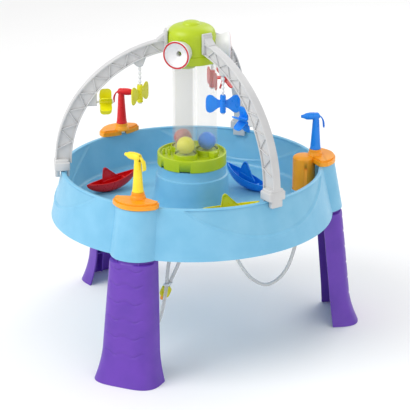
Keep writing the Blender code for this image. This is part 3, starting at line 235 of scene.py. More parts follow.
def cut(piece, cutter):
    """Cuts one piece with another, which is used up."""
    shaped(piece, "BOOLEAN", operation="DIFFERENCE", solver="EXACT", object=cutter)
    bpy.data.objects.remove(cutter)
    return piece


def joined(name, pieces):
    """One piece out of several."""
    bpy.ops.object.select_all(action="DESELECT")
    for piece in pieces:
        piece.select_set(True)
    bpy.context.view_layer.objects.active = pieces[0]
    bpy.ops.object.join()
    pieces[0].name = name
    return pieces[0]


def copied(source, name, *moves):
    """A copy with its own mesh, moved by matrices given from the last to the first."""
    piece = source.copy()
    piece.data = source.data.copy()
    piece.name = piece.data.name = name
    bpy.context.scene.collection.objects.link(piece)
    for move in reversed(moves):
        piece.data.transform(move)
    return piece


def placed(piece, name, *moves):
    """Moves a piece's own mesh by matrices given from the last to the first, and names it."""
    for move in reversed(moves):
        piece.data.transform(move)
    piece.name = piece.data.name = name
    return piece


def turn(degrees, axis="Z"):
    return Matrix.Rotation(math.radians(degrees), 4, axis)


def shift(x, y, z):
    return Matrix.Translation((x, y, z))


def station(degrees):
    """The matrix that takes a station's frame into the world."""
    return Matrix.Translation(AXIS) @ turn(degrees)


def worn(piece, body, finish, slot, *nodes):
    """Gives a piece its material and the body it rides on, and hides the nodes it stands for; its slot is not
    used.
    """
    piece.data.materials.clear()
    piece.data.materials.append(finish)
    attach(piece, body)
    if nodes:
        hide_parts(*nodes)
    return piece


# Materials


def linear(colour):
    """An sRGB hex value as linear RGBA."""
    channels = [int(colour[i : i + 2], 16) / 255 for i in (1, 3, 5)]
    return (*(c / 12.92 if c <= 0.04045 else ((c + 0.055) / 1.055) ** 2.4 for c in channels), 1.0)


def add(tree, kind, links=(), **settings):
    """Adds a node with its settings, then links (socket, output) pairs into it."""
    made = tree.nodes.new(kind)
    for name, value in settings.items():
        if hasattr(made, name):
            setattr(made, name, value)
        else:
            made.inputs[name.replace("_", " ")].default_value = value
    for name, source in links:
        tree.links.new(made.inputs[name], source)
    return made


def moulded(name, colour, light, roughness, grain_mm=0.5, grain=0.06, glow=0.0, mottle_mm=60.0):
    """A moulded thermoplastic: pigment that clouds a little, and a fine satin grain from the mould."""
    made = bpy.data.materials.new(name)
    made.use_nodes = True
    tree = made.node_tree
    shader = tree.nodes["Principled BSDF"]
    shader.inputs["IOR"].default_value = 1.50
    shader.inputs["Subsurface Weight"].default_value = glow
    shader.inputs["Subsurface Radius"].default_value = (0.010, 0.010, 0.010)
    shader.inputs["Subsurface Scale"].default_value = 0.4
    place = add(tree, "ShaderNodeTexCoord").outputs["Object"]
    cloud = add(
        tree, "ShaderNodeTexNoise", [("Vector", place)], Scale=1000 / mottle_mm, Detail=3.0
    )
    share = add(
        tree,
        "ShaderNodeMapRange",
        [("Value", cloud.outputs["Fac"])],
        From_Min=0.35,
        From_Max=0.65,
    )
    mix = add(tree, "ShaderNodeMix", [("Factor", share.outputs["Result"])], data_type="RGBA")
    for i, value in ((6, linear(colour)), (7, linear(light))):
        mix.inputs[i].default_value = value
    tree.links.new(shader.inputs["Base Color"], mix.outputs[2])
    rub = add(tree, "ShaderNodeTexNoise", [("Vector", place)], Scale=1000 / 9.0, Detail=4.0)
    dull = add(
        tree,
        "ShaderNodeMapRange",
        [("Value", rub.outputs["Fac"])],
        From_Min=0.3,
        From_Max=0.7,
        To_Min=roughness - 0.05,
        To_Max=roughness + 0.07,
    )
    tree.links.new(shader.inputs["Roughness"], dull.outputs["Result"])
    fine = add(tree, "ShaderNodeTexNoise", [("Vector", place)], Scale=1000 / grain_mm, Detail=2.0)
    bump = add(
        tree,
        "ShaderNodeBump",
        [("Height", fine.outputs["Fac"])],
        Strength=grain,
        Distance=grain_mm / 1000,
    )
    tree.links.new(shader.inputs["Normal"], bump.outputs["Normal"])
    return made


def see_through(name, colour, roughness, clear, alpha=1.0):
    """A clear or milky plastic with faint flow lines along its length."""
    made = bpy.data.materials.new(name)
    made.use_nodes = True
    tree = made.node_tree
    shader = tree.nodes["Principled BSDF"]
    shader.inputs["Base Color"].default_value = linear(colour)
    shader.inputs["IOR"].default_value = 1.46
    shader.inputs["Transmission Weight"].default_value = clear
    shader.inputs["Alpha"].default_value = alpha
    place = add(tree, "ShaderNodeTexCoord").outputs["Object"]
    stretch = add(tree, "ShaderNodeMapping", [("Vector", place)])
    stretch.inputs["Scale"].default_value = (1.0, 1.0, 0.04)
    flow = add(tree, "ShaderNodeTexNoise", [("Vector", stretch.outputs["Vector"])], Scale=180.0)
    dull = add(
        tree,
        "ShaderNodeMapRange",
        [("Value", flow.outputs["Fac"])],
        To_Min=roughness,
        To_Max=roughness + 0.06,
    )
    tree.links.new(shader.inputs["Roughness"], dull.outputs["Result"])
    bump = add(
        tree, "ShaderNodeBump", [("Height", flow.outputs["Fac"])], Strength=0.03, Distance=0.001
    )
    tree.links.new(shader.inputs["Normal"], bump.outputs["Normal"])
    return made


def bright_wire(name):
    """Drawn spring steel: grey metal with a fine draw along the wire."""
    made = bpy.data.materials.new(name)
    made.use_nodes = True
    tree = made.node_tree
    shader = tree.nodes["Principled BSDF"]
    shader.inputs["Base Color"].default_value = linear("#B9BABD")
    shader.inputs["Metallic"].default_value = 1.0
    place = add(tree, "ShaderNodeTexCoord").outputs["Object"]
    scratch = add(tree, "ShaderNodeTexNoise", [("Vector", place)], Scale=1000 / 0.3)
    dull = add(
        tree,
        "ShaderNodeMapRange",
        [("Value", scratch.outputs["Fac"])],
        To_Min=0.22,
        To_Max=0.38,
    )
    tree.links.new(shader.inputs["Roughness"], dull.outputs["Result"])
    return made


# Rotationally moulded polyethylene: satin, a little translucent, clouded by its cooling
BASIN_BLUE = moulded("rotomoulded_polyethylene_sky", "#76B9DB", "#80C0E0", 0.40, 0.8, 0.10, 0.12)
LEG_PURPLE = moulded("moulded_polyethylene_purple", "#5F34A8", "#6839B0", 0.42, 0.8, 0.12, 0.05)
# Injection-moulded polypropylene and ABS: smoother, with a soft gloss
LIME = moulded("polypropylene_lime", "#AEC50C", "#B7CC17", 0.34, 0.5, 0.05, 0.06)
GREY = moulded("abs_light_grey", "#C6C6C7", "#CECECE", 0.36, 0.5, 0.05)
WHITE = moulded("abs_white", "#E6E6E8", "#EEEEEF", 0.32, 0.5, 0.04)
ORANGE = moulded("polypropylene_orange", "#F59A08", "#FAA51A", 0.34, 0.5, 0.05, 0.05)
TOYS = {
    "red": moulded("polypropylene_red", "#D4050E", "#DD0E16", 0.30, 0.5, 0.05, 0.04),
    "blue": moulded("polypropylene_blue", "#067CE4", "#0F88EE", 0.30, 0.5, 0.05, 0.04),
    "yellow": moulded("polypropylene_yellow", "#DFD806", "#E6E012", 0.30, 0.5, 0.05, 0.05),
}
WARM_YELLOW = moulded("polypropylene_warm_yellow", "#F6DA1C", "#FAE230", 0.30, 0.5, 0.05, 0.05)
RING_RED = moulded("pad_printed_red", "#C4081F", "#CC1027", 0.28, 0.5, 0.03)
CLEAR = see_through("clear_polycarbonate_tube", "#E9E8E2", 0.04, 0.0, 0.10)
VINYL = see_through("soft_vinyl_hose", "#ECECEA", 0.16, 0.45)
STEEL = bright_wire("drawn_spring_steel")
SQUIRTERS = {"front": WARM_YELLOW, "right": TOYS["blue"], "left": TOYS["red"]}


# Basin


def lobe(angle):
    """How far out the basin bulges at an angle from a leg's centre line, from 0 to 1."""
    return max(0.0, 1.0 - abs(angle / LOBE_ANGLE) ** 2.4)


def off(angle, centres):
    """The signed angle in degrees to the nearest of some centres."""
    return min(((angle - c + 180) % 360 - 180 for c in centres), key=abs)


def ease(value):
    """A smooth step from 0 to 1."""
    value = min(1.0, max(0.0, value))
    return value * value * (3 - 2 * value)


def skirt_radius(height, bulge):
    down = (RIM - height) / (RIM - SKIRT_BOTTOM)
    return RIM_RADIUS + (SKIRT_RADIUS - RIM_RADIUS) * down + bulge * (0.036 - 0.005 * down)


def wall_relief(angle, height, radius):
    """How deep the wall is sunk: inside the curved panel under each arch, and in the flute under its clip."""
    from_arch = off(angle, ARCHES.values())
    sunk = 0.0
    if abs(from_arch) < PANEL_ANGLE:
        edge = RIM - PANEL_DROP * math.cos(math.radians(90 * from_arch / PANEL_ANGLE)) ** 0.85
        sunk = 0.0032 * ease((height - edge + 0.0015) / 0.0050)
        ridge = (height - edge + 0.003) / 0.0036
        sunk -= 0.0016 * math.exp(-ridge * ridge)
    across = math.radians(from_arch) * radius
    low = 0.374
    half = 0.0045 + 0.0125 * (height - low) / (RIM - low)
    if height > low - 0.006 and abs(across) < half:
        ending = ease((height - low + 0.006) / 0.010)
        sunk += 0.0034 * ending * math.cos(math.pi / 2 * across / half) ** 2
    return sunk


def basin_section(angle):
    """The basin's section at an angle, from under the column round the skirt and rim to its top."""
    bulge = lobe(off(angle, LEGS.values()))
    niche = lobe(off(angle, [LEGS[BARREL_STATION]]))
    steep = 1.0 + 0.45 * (0 < bulge < 0.93)
    wall = WALL * steep
    inner = RIM_RADIUS - 0.0105 + 0.028 * niche
    floor = FLOOR_RADIUS + 0.016 * niche
    top, shoulder = 0.4557, 0.4292
    rows = [(0.0, top - WALL), (0.084, top - WALL), (0.0872, shoulder), (0.097, FLOOR + 0.006)]
    rows += [(0.103, FLOOR - WALL), (floor * 0.6, FLOOR - WALL), (floor + 0.001, FLOOR - WALL)]
    rows += [(floor + 0.0085, FLOOR + 0.006), (inner + wall, RIM - 0.006)]
    rows += [(skirt_radius(RIM - 0.006, bulge) - wall, RIM - 0.006)]
    rows += [(skirt_radius(0.38, bulge) - wall, 0.38)]
    rows += [(skirt_radius(SKIRT_BOTTOM, bulge) - wall, SKIRT_BOTTOM)]
    rows += [(skirt_radius(SKIRT_BOTTOM, bulge) - 0.0004, SKIRT_BOTTOM)]
    skirt_rows = 38
    for n in range(skirt_rows + 1):
        height = SKIRT_BOTTOM + 0.0008 + (RIM - 0.0050 - SKIRT_BOTTOM - 0.0008) * n / skirt_rows
        radius = skirt_radius(height, bulge)
        rows.append((radius - wall_relief(angle, height, radius), height))
    outer = skirt_radius(RIM - 0.005, bulge)
    for n in range(1, 5):
        around = math.radians(22.5 * n)
        rows.append((outer - 0.0042 * (1 - math.cos(around)), RIM - 0.005 + 0.005 * math.sin(around)))
    for n in range(4):
        around = math.radians(30 * n)
        rows.append((inner + 0.0026 * (1 - math.sin(around)), RIM - 0.0030 * (1 - math.cos(around))))
    wall_rows = 26
    for n in range(1, wall_rows + 1):
        share = n / wall_rows
        height = RIM - 0.003 - (RIM - 0.003 - FLOOR - 0.0105) * share
        radius = inner + (floor + 0.0085 - inner) * share
        rows.append((radius + 0.7 * wall_relief(angle, height, radius), height))
    for n in range(1, 5):
        around = math.radians(22.5 * n)
        rows.append((floor + 0.0085 * math.cos(around), FLOOR + 0.0105 * (1 - math.sin(around))))
    for radius in (0.29, 0.25, 0.21, 0.17, 0.13, 0.110):
        rows.append((radius, FLOOR))
    rows += [(0.1065, FLOOR + 0.0008), (0.1035, FLOOR + 0.0035), (0.1012, FLOOR + 0.009)]
    rows += [(0.0985, FLOOR + 0.035), (0.0955, shoulder - 0.0035), (0.0948, shoulder - 0.0012)]
    rows += [(0.0932, shoulder), (0.0912, shoulder + 0.0008), (0.0904, shoulder + 0.0022)]
    rows += [(0.0895, 0.445), (0.0889, top - 0.0012), (0.0876, top - 0.0002), (0.0, top)]
    return rows


def make_basin():
    angles = []
    for centre in sorted(LEGS.values()):
        angles += [centre + LOBE_ANGLE * n / 14 for n in range(-14, 14)]
        free = 120 - 2 * LOBE_ANGLE
        angles += [centre + LOBE_ANGLE + free * n / 128 for n in range(128)]
    sections = [basin_section(angle) for angle in angles]

    def place(column, row):
        radius, height = sections[column % len(angles)][row]
        around = math.radians(angles[column % len(angles)])
        return Vector((radius * math.cos(around), radius * math.sin(around), height)) + AXIS

    basin = woven("basin_moulding", len(angles), len(sections[0]) - 1, place, 28.0)
    worn(basin, "table", BASIN_BLUE, "light_blue_plastic", "basin")
    edge, bore = 0.0339, 0.0305
    top = FLOOR + 0.022
    profile = [(bore, FLOOR - 0.001), (bore, top - 0.001), (bore + 0.001, top)]
    profile += [(edge - 0.0012, top), (edge - 0.0002, top - 0.0012), (edge + 0.0004, FLOOR + 0.003)]
    profile += [(edge + 0.003, FLOOR - 0.001)]
    ring = turned("socket", profile, 64, loop=True)
    outlet = turned("outlet", [(0.0035, 0.349), (0.0035, 0.3295), (0.0055, 0.3295), (0.0055, 0.349)], 24, True)
    drain = placed(outlet, "drain_outlet", station(270), shift(0.140, 0.040, 0))
    worn(drain, "table", BASIN_BLUE, "light_blue_plastic")
    placed(ring, "barrel_socket", station(LEGS[BARREL_STATION]), shift(WELL, 0, 0))
    worn(ring, "table", BASIN_BLUE, "light_blue_plastic")


# Legs

# Plain waves sunk in the leg's face: their heights, swing and length in metres
LEG_WAVES = (0.080, 0.125, 0.170, 0.215, 0.260, 0.300)
WAVE_SWING, WAVE_LENGTH = 0.005, 0.050


def leg_section(height):
    """Outer radius, half width and inner edge radius of a leg at a height."""
    flare = max(0.0, 1.0 - height / 0.085) ** 1.8
    outer = 0.4355 - 0.106 * height + 0.0165 * flare
    width = 0.0775 - 0.055 * height + 0.012 * flare
    return outer, width, 0.3735 - 0.095 * height


def groove(across, height):
    """Depth of the waves at a point of the leg's face; they fade out before its corners."""
    swing = WAVE_SWING * math.cos(math.tau * across / WAVE_LENGTH)
    nearest = min(abs(height - wave - swing) for wave in LEG_WAVES)
    fade = ease((0.80 * leg_section(height)[1] - abs(across)) / 0.010)
    return 0.0024 * fade * math.exp(-((nearest / 0.0026) ** 2))


def leg_inside(height):
    """The hollow of a leg at a height as an outline in (x, y), a little into its wall."""
    outer, width, edge = leg_section(height)
    outline = []
    for n in range(-10, 11):
        around = math.radians(9 * n)
        side = math.copysign(abs(math.sin(around)) ** 0.55, around)
        out = max(0.0, math.cos(around)) ** 0.55
        outline.append((max(edge + 0.020, edge + (outer - edge - 0.003) * out), (width - 0.003) * side))
    return outline


def make_legs():
    columns, rows = 84, 130
    top = FLOOR - WALL - GAP

    def place(column, row):
        height = top * row / rows
        outer, width, edge = leg_section(height)
        around = math.pi * (column / columns - 0.5)
        side = math.copysign(abs(math.sin(around)) ** 0.55, around)
        out = max(0.0, math.cos(around)) ** 0.55
        x, y = edge + (outer - edge) * out, width * side
        if height > SKIRT_BOTTOM - 0.008:
            bulge = lobe(1.15 * math.degrees(math.atan2(y, x)))
            inside = skirt_radius(height, bulge) - 1.6 * WALL - 0.001
            x = min(x, math.sqrt(inside**2 - y**2))
        depth = groove(y, height) if abs(column / columns - 0.5) < 0.42 and height > 0.03 else 0
        return Vector((x - depth, y * (1 - 0.4 * depth / 0.09), height))

    skin = woven("leg_skin", columns, rows, place)
    if sum(face.normal.x for face in skin.data.polygons) < 0:
        skin.data.flip_normals()
    shaped(skin, "SOLIDIFY", thickness=0.004, offset=-1, use_even_offset=True)
    edit(skin)
    bpy.ops.mesh.normals_make_consistent(inside=False)
    skin = done(28.0)
    for point in skin.data.vertices:
        point.co.z = max(0.0, point.co.z)
    # Stiffening ribs down the open back, and the plate that bolts under the basin
    ribs = []
    for y in (-0.030, 0.030):
        outline = [(0.352, 0.330), (0.395, 0.330), (0.405, 0.240), (0.416, 0.110), (0.424, 0.020)]
        outline += [(0.400, 0.020), (0.388, 0.110), (0.372, 0.240)]
        rib = cut_out("rib", outline, 0.003)
        rib.data.transform(shift(0, y, 0))
        ribs.append(rounded(rib, 0.0008))
    for height in (0.085, 0.165, 0.245):
        shelf = laid_flat(cut_out("shelf", leg_inside(height), 0.003))
        shelf.data.transform(shift(0, 0, height))
        ribs.append(rounded(shelf, 0.0005, 1, 60))
    plate = [(0.272, -0.040), (0.278, -0.046), (0.362, -0.056), (0.378, -0.040), (0.384, 0)]
    plate += [(0.378, 0.040), (0.362, 0.056), (0.278, 0.046), (0.272, 0.040)]
    top_plate = laid_flat(cut_out("top_plate", plate, 0.0055))
    top_plate.data.transform(shift(0, 0, top - 0.00275))
    frame_of_leg = joined("leg_frame", ribs)
    for name, degrees in LEGS.items():
        shell = copied(skin, f"leg_shell_{name}", station(degrees))
        worn(shell, "table", LEG_PURPLE, "purple_plastic", f"leg_{name}")
        hole_place = WELL if name == BARREL_STATION else RISER
        hole = bar("hole", (hole_place, 0, top - 0.03), (hole_place, 0, top + 0.01), 0.011)
        plate = rounded(cut(copied(top_plate, "plate"), hole), 0.0008)
        inside = joined(f"leg_ribs_{name}", [plate, copied(frame_of_leg, "ribs")])
        placed(inside, f"leg_ribs_{name}", station(degrees))
        worn(inside, "table", LEG_PURPLE, "purple_plastic")
    for spare in (skin, frame_of_leg, top_plate):
        bpy.data.objects.remove(spare)


# Tower


def make_tower():
    top = 0.488
    floor = top - 0.007
    cup = [(0.0, floor - 0.003), (0.079, floor - 0.003), (0.0872, floor - 0.007), (0.0872, 0.456)]
    cup += [(0.0908, 0.456), (0.0912, 0.4566), (0.0912, top - 0.003), (0.0905, top - 0.0009)]
    cup += [(0.0890, top), (0.0858, top), (0.0848, top - 0.0008), (0.0832, floor + 0.001)]
    cup += [(0.0820, floor), (0.0, floor)]
    base = turned("base", cup, 144)
    for degrees, half, rise in ((236.0, 4.0, 0.0065), (282.0, 9.0, 0.0035)):
        reach = 0.095 * math.sin(math.radians(half))
        notch = block("notch", (0.080, -reach, 0.450), (0.100, reach, 0.456 + rise), 0.0006, 1)
        notch.data.transform(turn(degrees))
        cut(base, notch)
    placed(base, "tower_base_cup", Matrix.Translation(AXIS))
    worn(base, "table", LIME, "lime_plastic", "tower_base")
    edge = 0.0313
    collar = [(0.0288, floor - 0.001), (0.0288, 0.4938), (0.0293, 0.4945), (edge - 0.001, 0.4945)]
    collar += [(edge, 0.4932), (edge + 0.0004, floor + 0.003), (edge + 0.0022, floor - 0.001)]
    collar_ring = turned("collar", collar, 64, loop=True)
    seat = [(0.0, 0.4905), (0.0045, 0.4905), (0.0055, 0.4912), (0.0250, 0.4912), (0.0258, 0.4904)]
    seat += [(0.0258, floor - 0.001), (0.0, floor - 0.001)]
    ball_seat = turned("seat", seat, 48)
    barb = [(0.0, 0.4378), (0.0030, 0.4378), (0.0034, 0.4378), (0.0055, 0.4420), (0.0048, 0.4424)]
    barb += [(0.0055, 0.4466), (0.0048, 0.4470), (0.0055, 0.4520), (0.0055, 0.4720), (0.0, 0.4720)]
    spout = turned("barb", barb, 32)
    tube_wall = [(0.02645, 0.4705), (0.02645, 0.7363), (0.02825, 0.7363), (0.02825, 0.4705)]
    tube = turned("tube", tube_wall, 72, loop=True)
    bpy.ops.object.select_all(action="DESELECT")
    bpy.ops.mesh.primitive_uv_sphere_add(segments=64, ring_count=32, radius=0.0235)
    ball = bpy.context.object
    for point in ball.data.vertices:
        seam = math.exp(-((point.co.z / 0.0009) ** 2))
        point.co *= 1 - 0.012 * seam
    edit(ball)
    ball = done(60.0)
    for name, degrees in LEGS.items():
        place = station(degrees), shift(0.040, 0, 0)
        parts = [copied(source, "part", *place) for source in (collar_ring, ball_seat, spout)]
        collar = joined(f"tube_collar_{name}", parts)
        worn(collar, "table", LIME, "lime_plastic")
        clear = copied(tube, f"clear_tube_{name}", *place)
        worn(clear, "table", CLEAR, "clear_plastic", f"tube_{name}")
        colour = LEG_COLOURS[name]
        tilt = turn(35, "X") @ turn(20, "Y")
        round_ball = copied(ball, f"play_ball_{name}", *place, shift(0, 0, 0.4912 + GAP + 0.0235), tilt)
        worn(round_ball, f"ball_{name}", TOYS[colour], f"{colour}_plastic", f"ball_{name}")
    # A hose clamp beside the blue tube's collar, and two posts by the red one
    lug = block("lug", (0.030, -0.010, floor - 0.001), (0.047, 0.010, 0.4975), 0.0012)
    lug.data.transform(Matrix.Translation(AXIS) @ turn(352) @ shift(0.028, 0, 0))
    posts = []
    for degrees, radius in ((196, 0.062), (206, 0.074), (214, 0.060)):
        post = turned("post", [(0, 0.4955), (0.0030, 0.4955), (0.0036, 0.4945), (0.0042, floor - 0.001), (0, floor - 0.001)], 24)
        post.data.transform(station(degrees) @ shift(radius, 0, 0))
        posts.append(post)
    worn(joined("tower_base_lugs", [lug, *posts]), "table", LIME, "lime_plastic")

    high = 0.840
    dome = [(0.0, high), (0.010, high - 0.0002), (0.0165, high - 0.0010), (0.0205, high - 0.0026)]
    dome += [(0.0228, high - 0.0050), (0.0240, high - 0.0072), (0.0262, high - 0.0084)]
    dome += [(0.0340, high - 0.0093), (0.0430, high - 0.0112), (0.0500, high - 0.0142)]
    dome += [(0.0555, high - 0.0184), (0.0592, high - 0.0232), (0.0614, high - 0.0286)]
    dome += [(0.0623, high - 0.0345), (0.0625, high - 0.0420)]
    dome += [(0.0625, 0.7610), (0.0630, 0.7590), (0.0650, 0.7578), (0.0662, 0.7568)]
    dome += [(0.0668, 0.7548), (0.0670, 0.7374), (0.0664, 0.7366), (0.0595, 0.7366)]
    dome += [(0.0, 0.7366)]
    cap = turned("cap", dome, 144)
    for name, degrees in LEGS.items():
        spigot = turned("spigot", [(0.009, 0.7376), (0.009, 0.7286), (0.0255, 0.7286), (0.0260, 0.7294), (0.0260, 0.7376)], 48, True)
        spigot.data.transform(turn(degrees) @ shift(0.040, 0, 0))
        cap = joined("cap", [cap, spigot])
    placed(cap, "tower_cap_dome", Matrix.Translation(AXIS))
    worn(cap, "table", LIME, "lime_plastic", "tower_cap")
    # The screw well above each target
    well = turned("well", [(0.0, 0.0), (0.0030, 0.0), (0.0034, 0.0009), (0.0046, 0.0012), (0.0052, 0.0), (0.0052, -0.003), (0, -0.003)], 32)
    for name, degrees in LEGS.items():
        screw = copied(well, f"cap_screw_well_{name}", station(degrees), shift(0.0622, 0, 0.8005), turn(90, "Y"))
        worn(screw, "table", LIME, "lime_plastic")
    for spare in (collar_ring, ball_seat, spout, tube, ball, well):
        bpy.data.objects.remove(spare)


# Targets


def make_targets():
    mouth = 0.0316
    dish = [(0.007, -0.040), (0.007, -0.0180), (0.0085, -0.0168), (0.0290, -0.0062)]
    dish += [(0.0299, -0.0048), (0.0303, -0.0020), (0.0305, 0.0), (0.0312, 0.0002)]
    dish += [(mouth, -0.0006), (mouth, -0.0070), (0.0305, -0.0086), (0.009, -0.0200), (0.009, -0.040)]
    bowl = turned("bowl", dish, 96, loop=True)
    inside = mouth + GAP
    band = [(inside, -0.005), (inside, 0.0), (inside + 0.0005, 0.0005), (0.0352, 0.0005)]
    band += [(0.0357, 0.0), (0.0357, -0.005)]
    hoop = turned("hoop", band, 96, loop=True)
    cup = [(0.0245, -0.0385), (0.0275, -0.0385), (0.0310, -0.0180), (0.0345, -0.0080)]
    cup += [(0.0362, -0.0062), (0.0365, -0.0050), (0.0365, -0.0006), (0.0359, -0.0001)]
    cup += [(0.0359, -0.0054), (0.0333, -0.0056), (0.0325, -0.0090), (0.0290, -0.0180)]
    holder = turned("holder", cup, 72, loop=True)
    for name, degrees in LEGS.items():
        place = station(degrees), shift(0.098, 0, 0.772), turn(90, "Y")
        worn(copied(bowl, f"target_bowl_{name}", *place), "table", WHITE, "white_plastic", f"target_dish_{name}")
        worn(copied(hoop, f"target_hoop_{name}", *place), "table", RING_RED, "red_plastic", f"target_ring_{name}")
        worn(copied(holder, f"target_holder_{name}", *place), "table", WHITE, "white_plastic")
    for spare in (bowl, hoop, holder):
        bpy.data.objects.remove(spare)


# Arches and their toys

ARCH_CENTRE = 0.470
ARCH_OUTER = (0.360, 0.333)
ARCH_INNER = (0.316, 0.300)
ARCH_WIDTH = 0.023
WEB_WIDTH = 0.0125
SPINNER_PLACE = 0.135
SPINNER_BOTTOM = 0.6265
WHEEL_HEIGHT = 0.631
WHEEL_INNER = 0.208
TAB_PLACE = 0.0628


def arch_point(share, depth=0.0):
    """A point of the arch's side view at a share of its length, from its outer to its inner edge."""
    ends = [math.acos((TAB_PLACE + 0.003) / axes[0]) for axes in (ARCH_OUTER, ARCH_INNER)]
    points = []
    for axes, end in zip((ARCH_OUTER, ARCH_INNER), ends):
        around = end * share
        points.append(Vector((axes[0] * math.cos(around), 0, ARCH_CENTRE + axes[1] * math.sin(around))))
    return points[0].lerp(points[1], depth)


def band(name, outer, inner, width, crown=0.0, steps=110):
    """A strip along the arch between two depths in metres from its outer or its inner edge."""
    half = width / 2
    section = [(-half, outer), (0, outer - crown), (half, outer), (half, inner), (-half, inner)]

    def place(column, row):
        across, deep = section[column % len(section)]
        share = row / steps
        top, low = arch_point(share), arch_point(share, 1)
        thick = (low - top).length
        away = deep / thick if deep >= 0 else 1 + deep / thick
        point = top.lerp(low, away)
        return Vector((point.x, across, point.z))

    return rounded(woven(name, len(section), steps, place, 40.0, caps=True), 0.0009, 2, 50.0)


def make_arch():
    pieces = [band("web", 0.0030, -0.0025, WEB_WIDTH)]
    half = ARCH_WIDTH / 2

    def flange(name, inside, thick, crown):
        section = [(-half, 0), (-half * 0.55, -crown), (half * 0.55, -crown), (half, 0)]
        section += [(half, thick), (-half, thick)]

        def place(column, row):
            across, deep = section[column % len(section)]
            share = row / 110
            top, low = arch_point(share), arch_point(share, 1)
            length = (low - top).length
            away = (0.0006 + deep) / length
            point = top.lerp(low, 1 - away if inside else away)
            return Vector((point.x, across, point.z))

        return rounded(woven(name, len(section), 110, place, 40.0, caps=True), 0.0009, 2, 50.0)

    pieces += [flange("outer_flange", False, 0.0045, 0.0006), flange("inner_flange", True, 0.0035, 0.0)]
    # Diagonal ribs that cross the web from edge to edge
    crossings = 15
    for n in range(crossings):
        start = 0.085 + 0.88 * n / crossings
        end = 0.085 + 0.88 * (n + 1) / crossings
        low, high = arch_point(start, n % 2 * 0.86 + 0.07), arch_point(end, (n + 1) % 2 * 0.86 + 0.07)
        along = (high - low).normalized()
        across = Vector((-along.z, 0, along.x)) * 0.0014
        corners = [low + across, high + across, high - across, low - across]
        rib = cut_out("rib", [(p.x, p.z) for p in corners], ARCH_WIDTH - 0.0018)
        pieces.append(rounded(rib, 0.0006, 1))
    low = block("clip_low", (0.3235, -0.017, 0.4345), (0.3615, 0.017, 0.470), 0.0025, 3)
    high = block("clip_high", (0.322, -0.025, 0.4525), (0.363, 0.025, 0.476), 0.0035, 3)
    step = block("clip_step", (0.3245, -0.0205, 0.470), (0.3605, 0.0205, 0.4815), 0.003, 3)
    for part in (low, high):
        slot = block("slot", (0.3305, -0.04, 0.41), (0.3490, 0.04, RIM + GAP), 0.0008, 1)
        cut(part, slot)
    pieces += [low, high, step]
    inward = ARCH_WIDTH / 2 + 0.0035
    tab = block("tab", (TAB_PLACE, -0.015, 0.766), (TAB_PLACE + 0.006, 0.015, 0.820), 0.0020, 3)
    pad = block("tab_pad", (TAB_PLACE + 0.002, -inward, 0.772), (TAB_PLACE + 0.0085, inward, 0.814), 0.002, 2)
    ramp = [(TAB_PLACE + 0.004, 0.812), (TAB_PLACE + 0.004, 0.7975), (0.090, 0.7905), (0.090, 0.7945)]
    pieces += [tab, pad, rounded(cut_out("ramp", ramp, ARCH_WIDTH), 0.001)]
    # The hanger for the spinner's rod and the holder for the wheel's axle
    under = arch_point(0.70, 1).z
    gusset = [(SPINNER_PLACE - 0.017, 0.7483), (SPINNER_PLACE - 0.0075, 0.7240)]
    gusset += [(SPINNER_PLACE + 0.0075, 0.7240), (SPINNER_PLACE + 0.017, 0.7330)]
    gusset += [(SPINNER_PLACE + 0.017, 0.7450), (SPINNER_PLACE - 0.017, 0.7580)]
    pieces.append(rounded(cut_out("hanger", gusset, 0.014), 0.0025, 3))
    boss = [(0, 0.7225), (0.0050, 0.7225), (0.0058, 0.7233), (0.0072, 0.7255), (0.0075, 0.7400), (0, 0.7400)]
    boss = turned("boss", boss, 40)
    boss.data.transform(shift(SPINNER_PLACE, 0, 0))
    bracket = [(0.2475, 0.6215), (0.2475, 0.658), (0.2500, 0.666), (0.262, 0.668)]
    bracket += [(0.276, 0.655), (0.2835, 0.640), (0.2815, 0.6265), (0.2765, 0.6215)]
    pieces += [boss, rounded(cut_out("wheel_holder", bracket, 0.0138), 0.0022, 3)]
    return joined("arch", pieces)


def make_rod():
    """A turned rod with beads along it and a button head under the spinner."""
    shaft = 0.0027
    profile = [(0, SPINNER_BOTTOM - 0.0043), (0.0030, SPINNER_BOTTOM - 0.0041)]
    profile += [(0.0049, SPINNER_BOTTOM - 0.0032), (0.0055, SPINNER_BOTTOM - 0.0020)]
    profile += [(0.0050, SPINNER_BOTTOM - 0.0006), (shaft, SPINNER_BOTTOM - GAP)]
    low, high = 0.6770, 0.7210
    profile += [(shaft, low)]
    beads = 4
    for n in range(beads):
        for part in range(9):
            share = (n + part / 8) / beads
            swell = 0.0024 * math.sin(math.pi * part / 8) ** 1.4
            profile.append((shaft - 0.0006 + swell, low + (high - low) * share))
    profile += [(shaft, high + 0.0008), (shaft, high + 0.0155), (0, high + 0.0155)]
    return turned("spinner_rod", profile, 40)


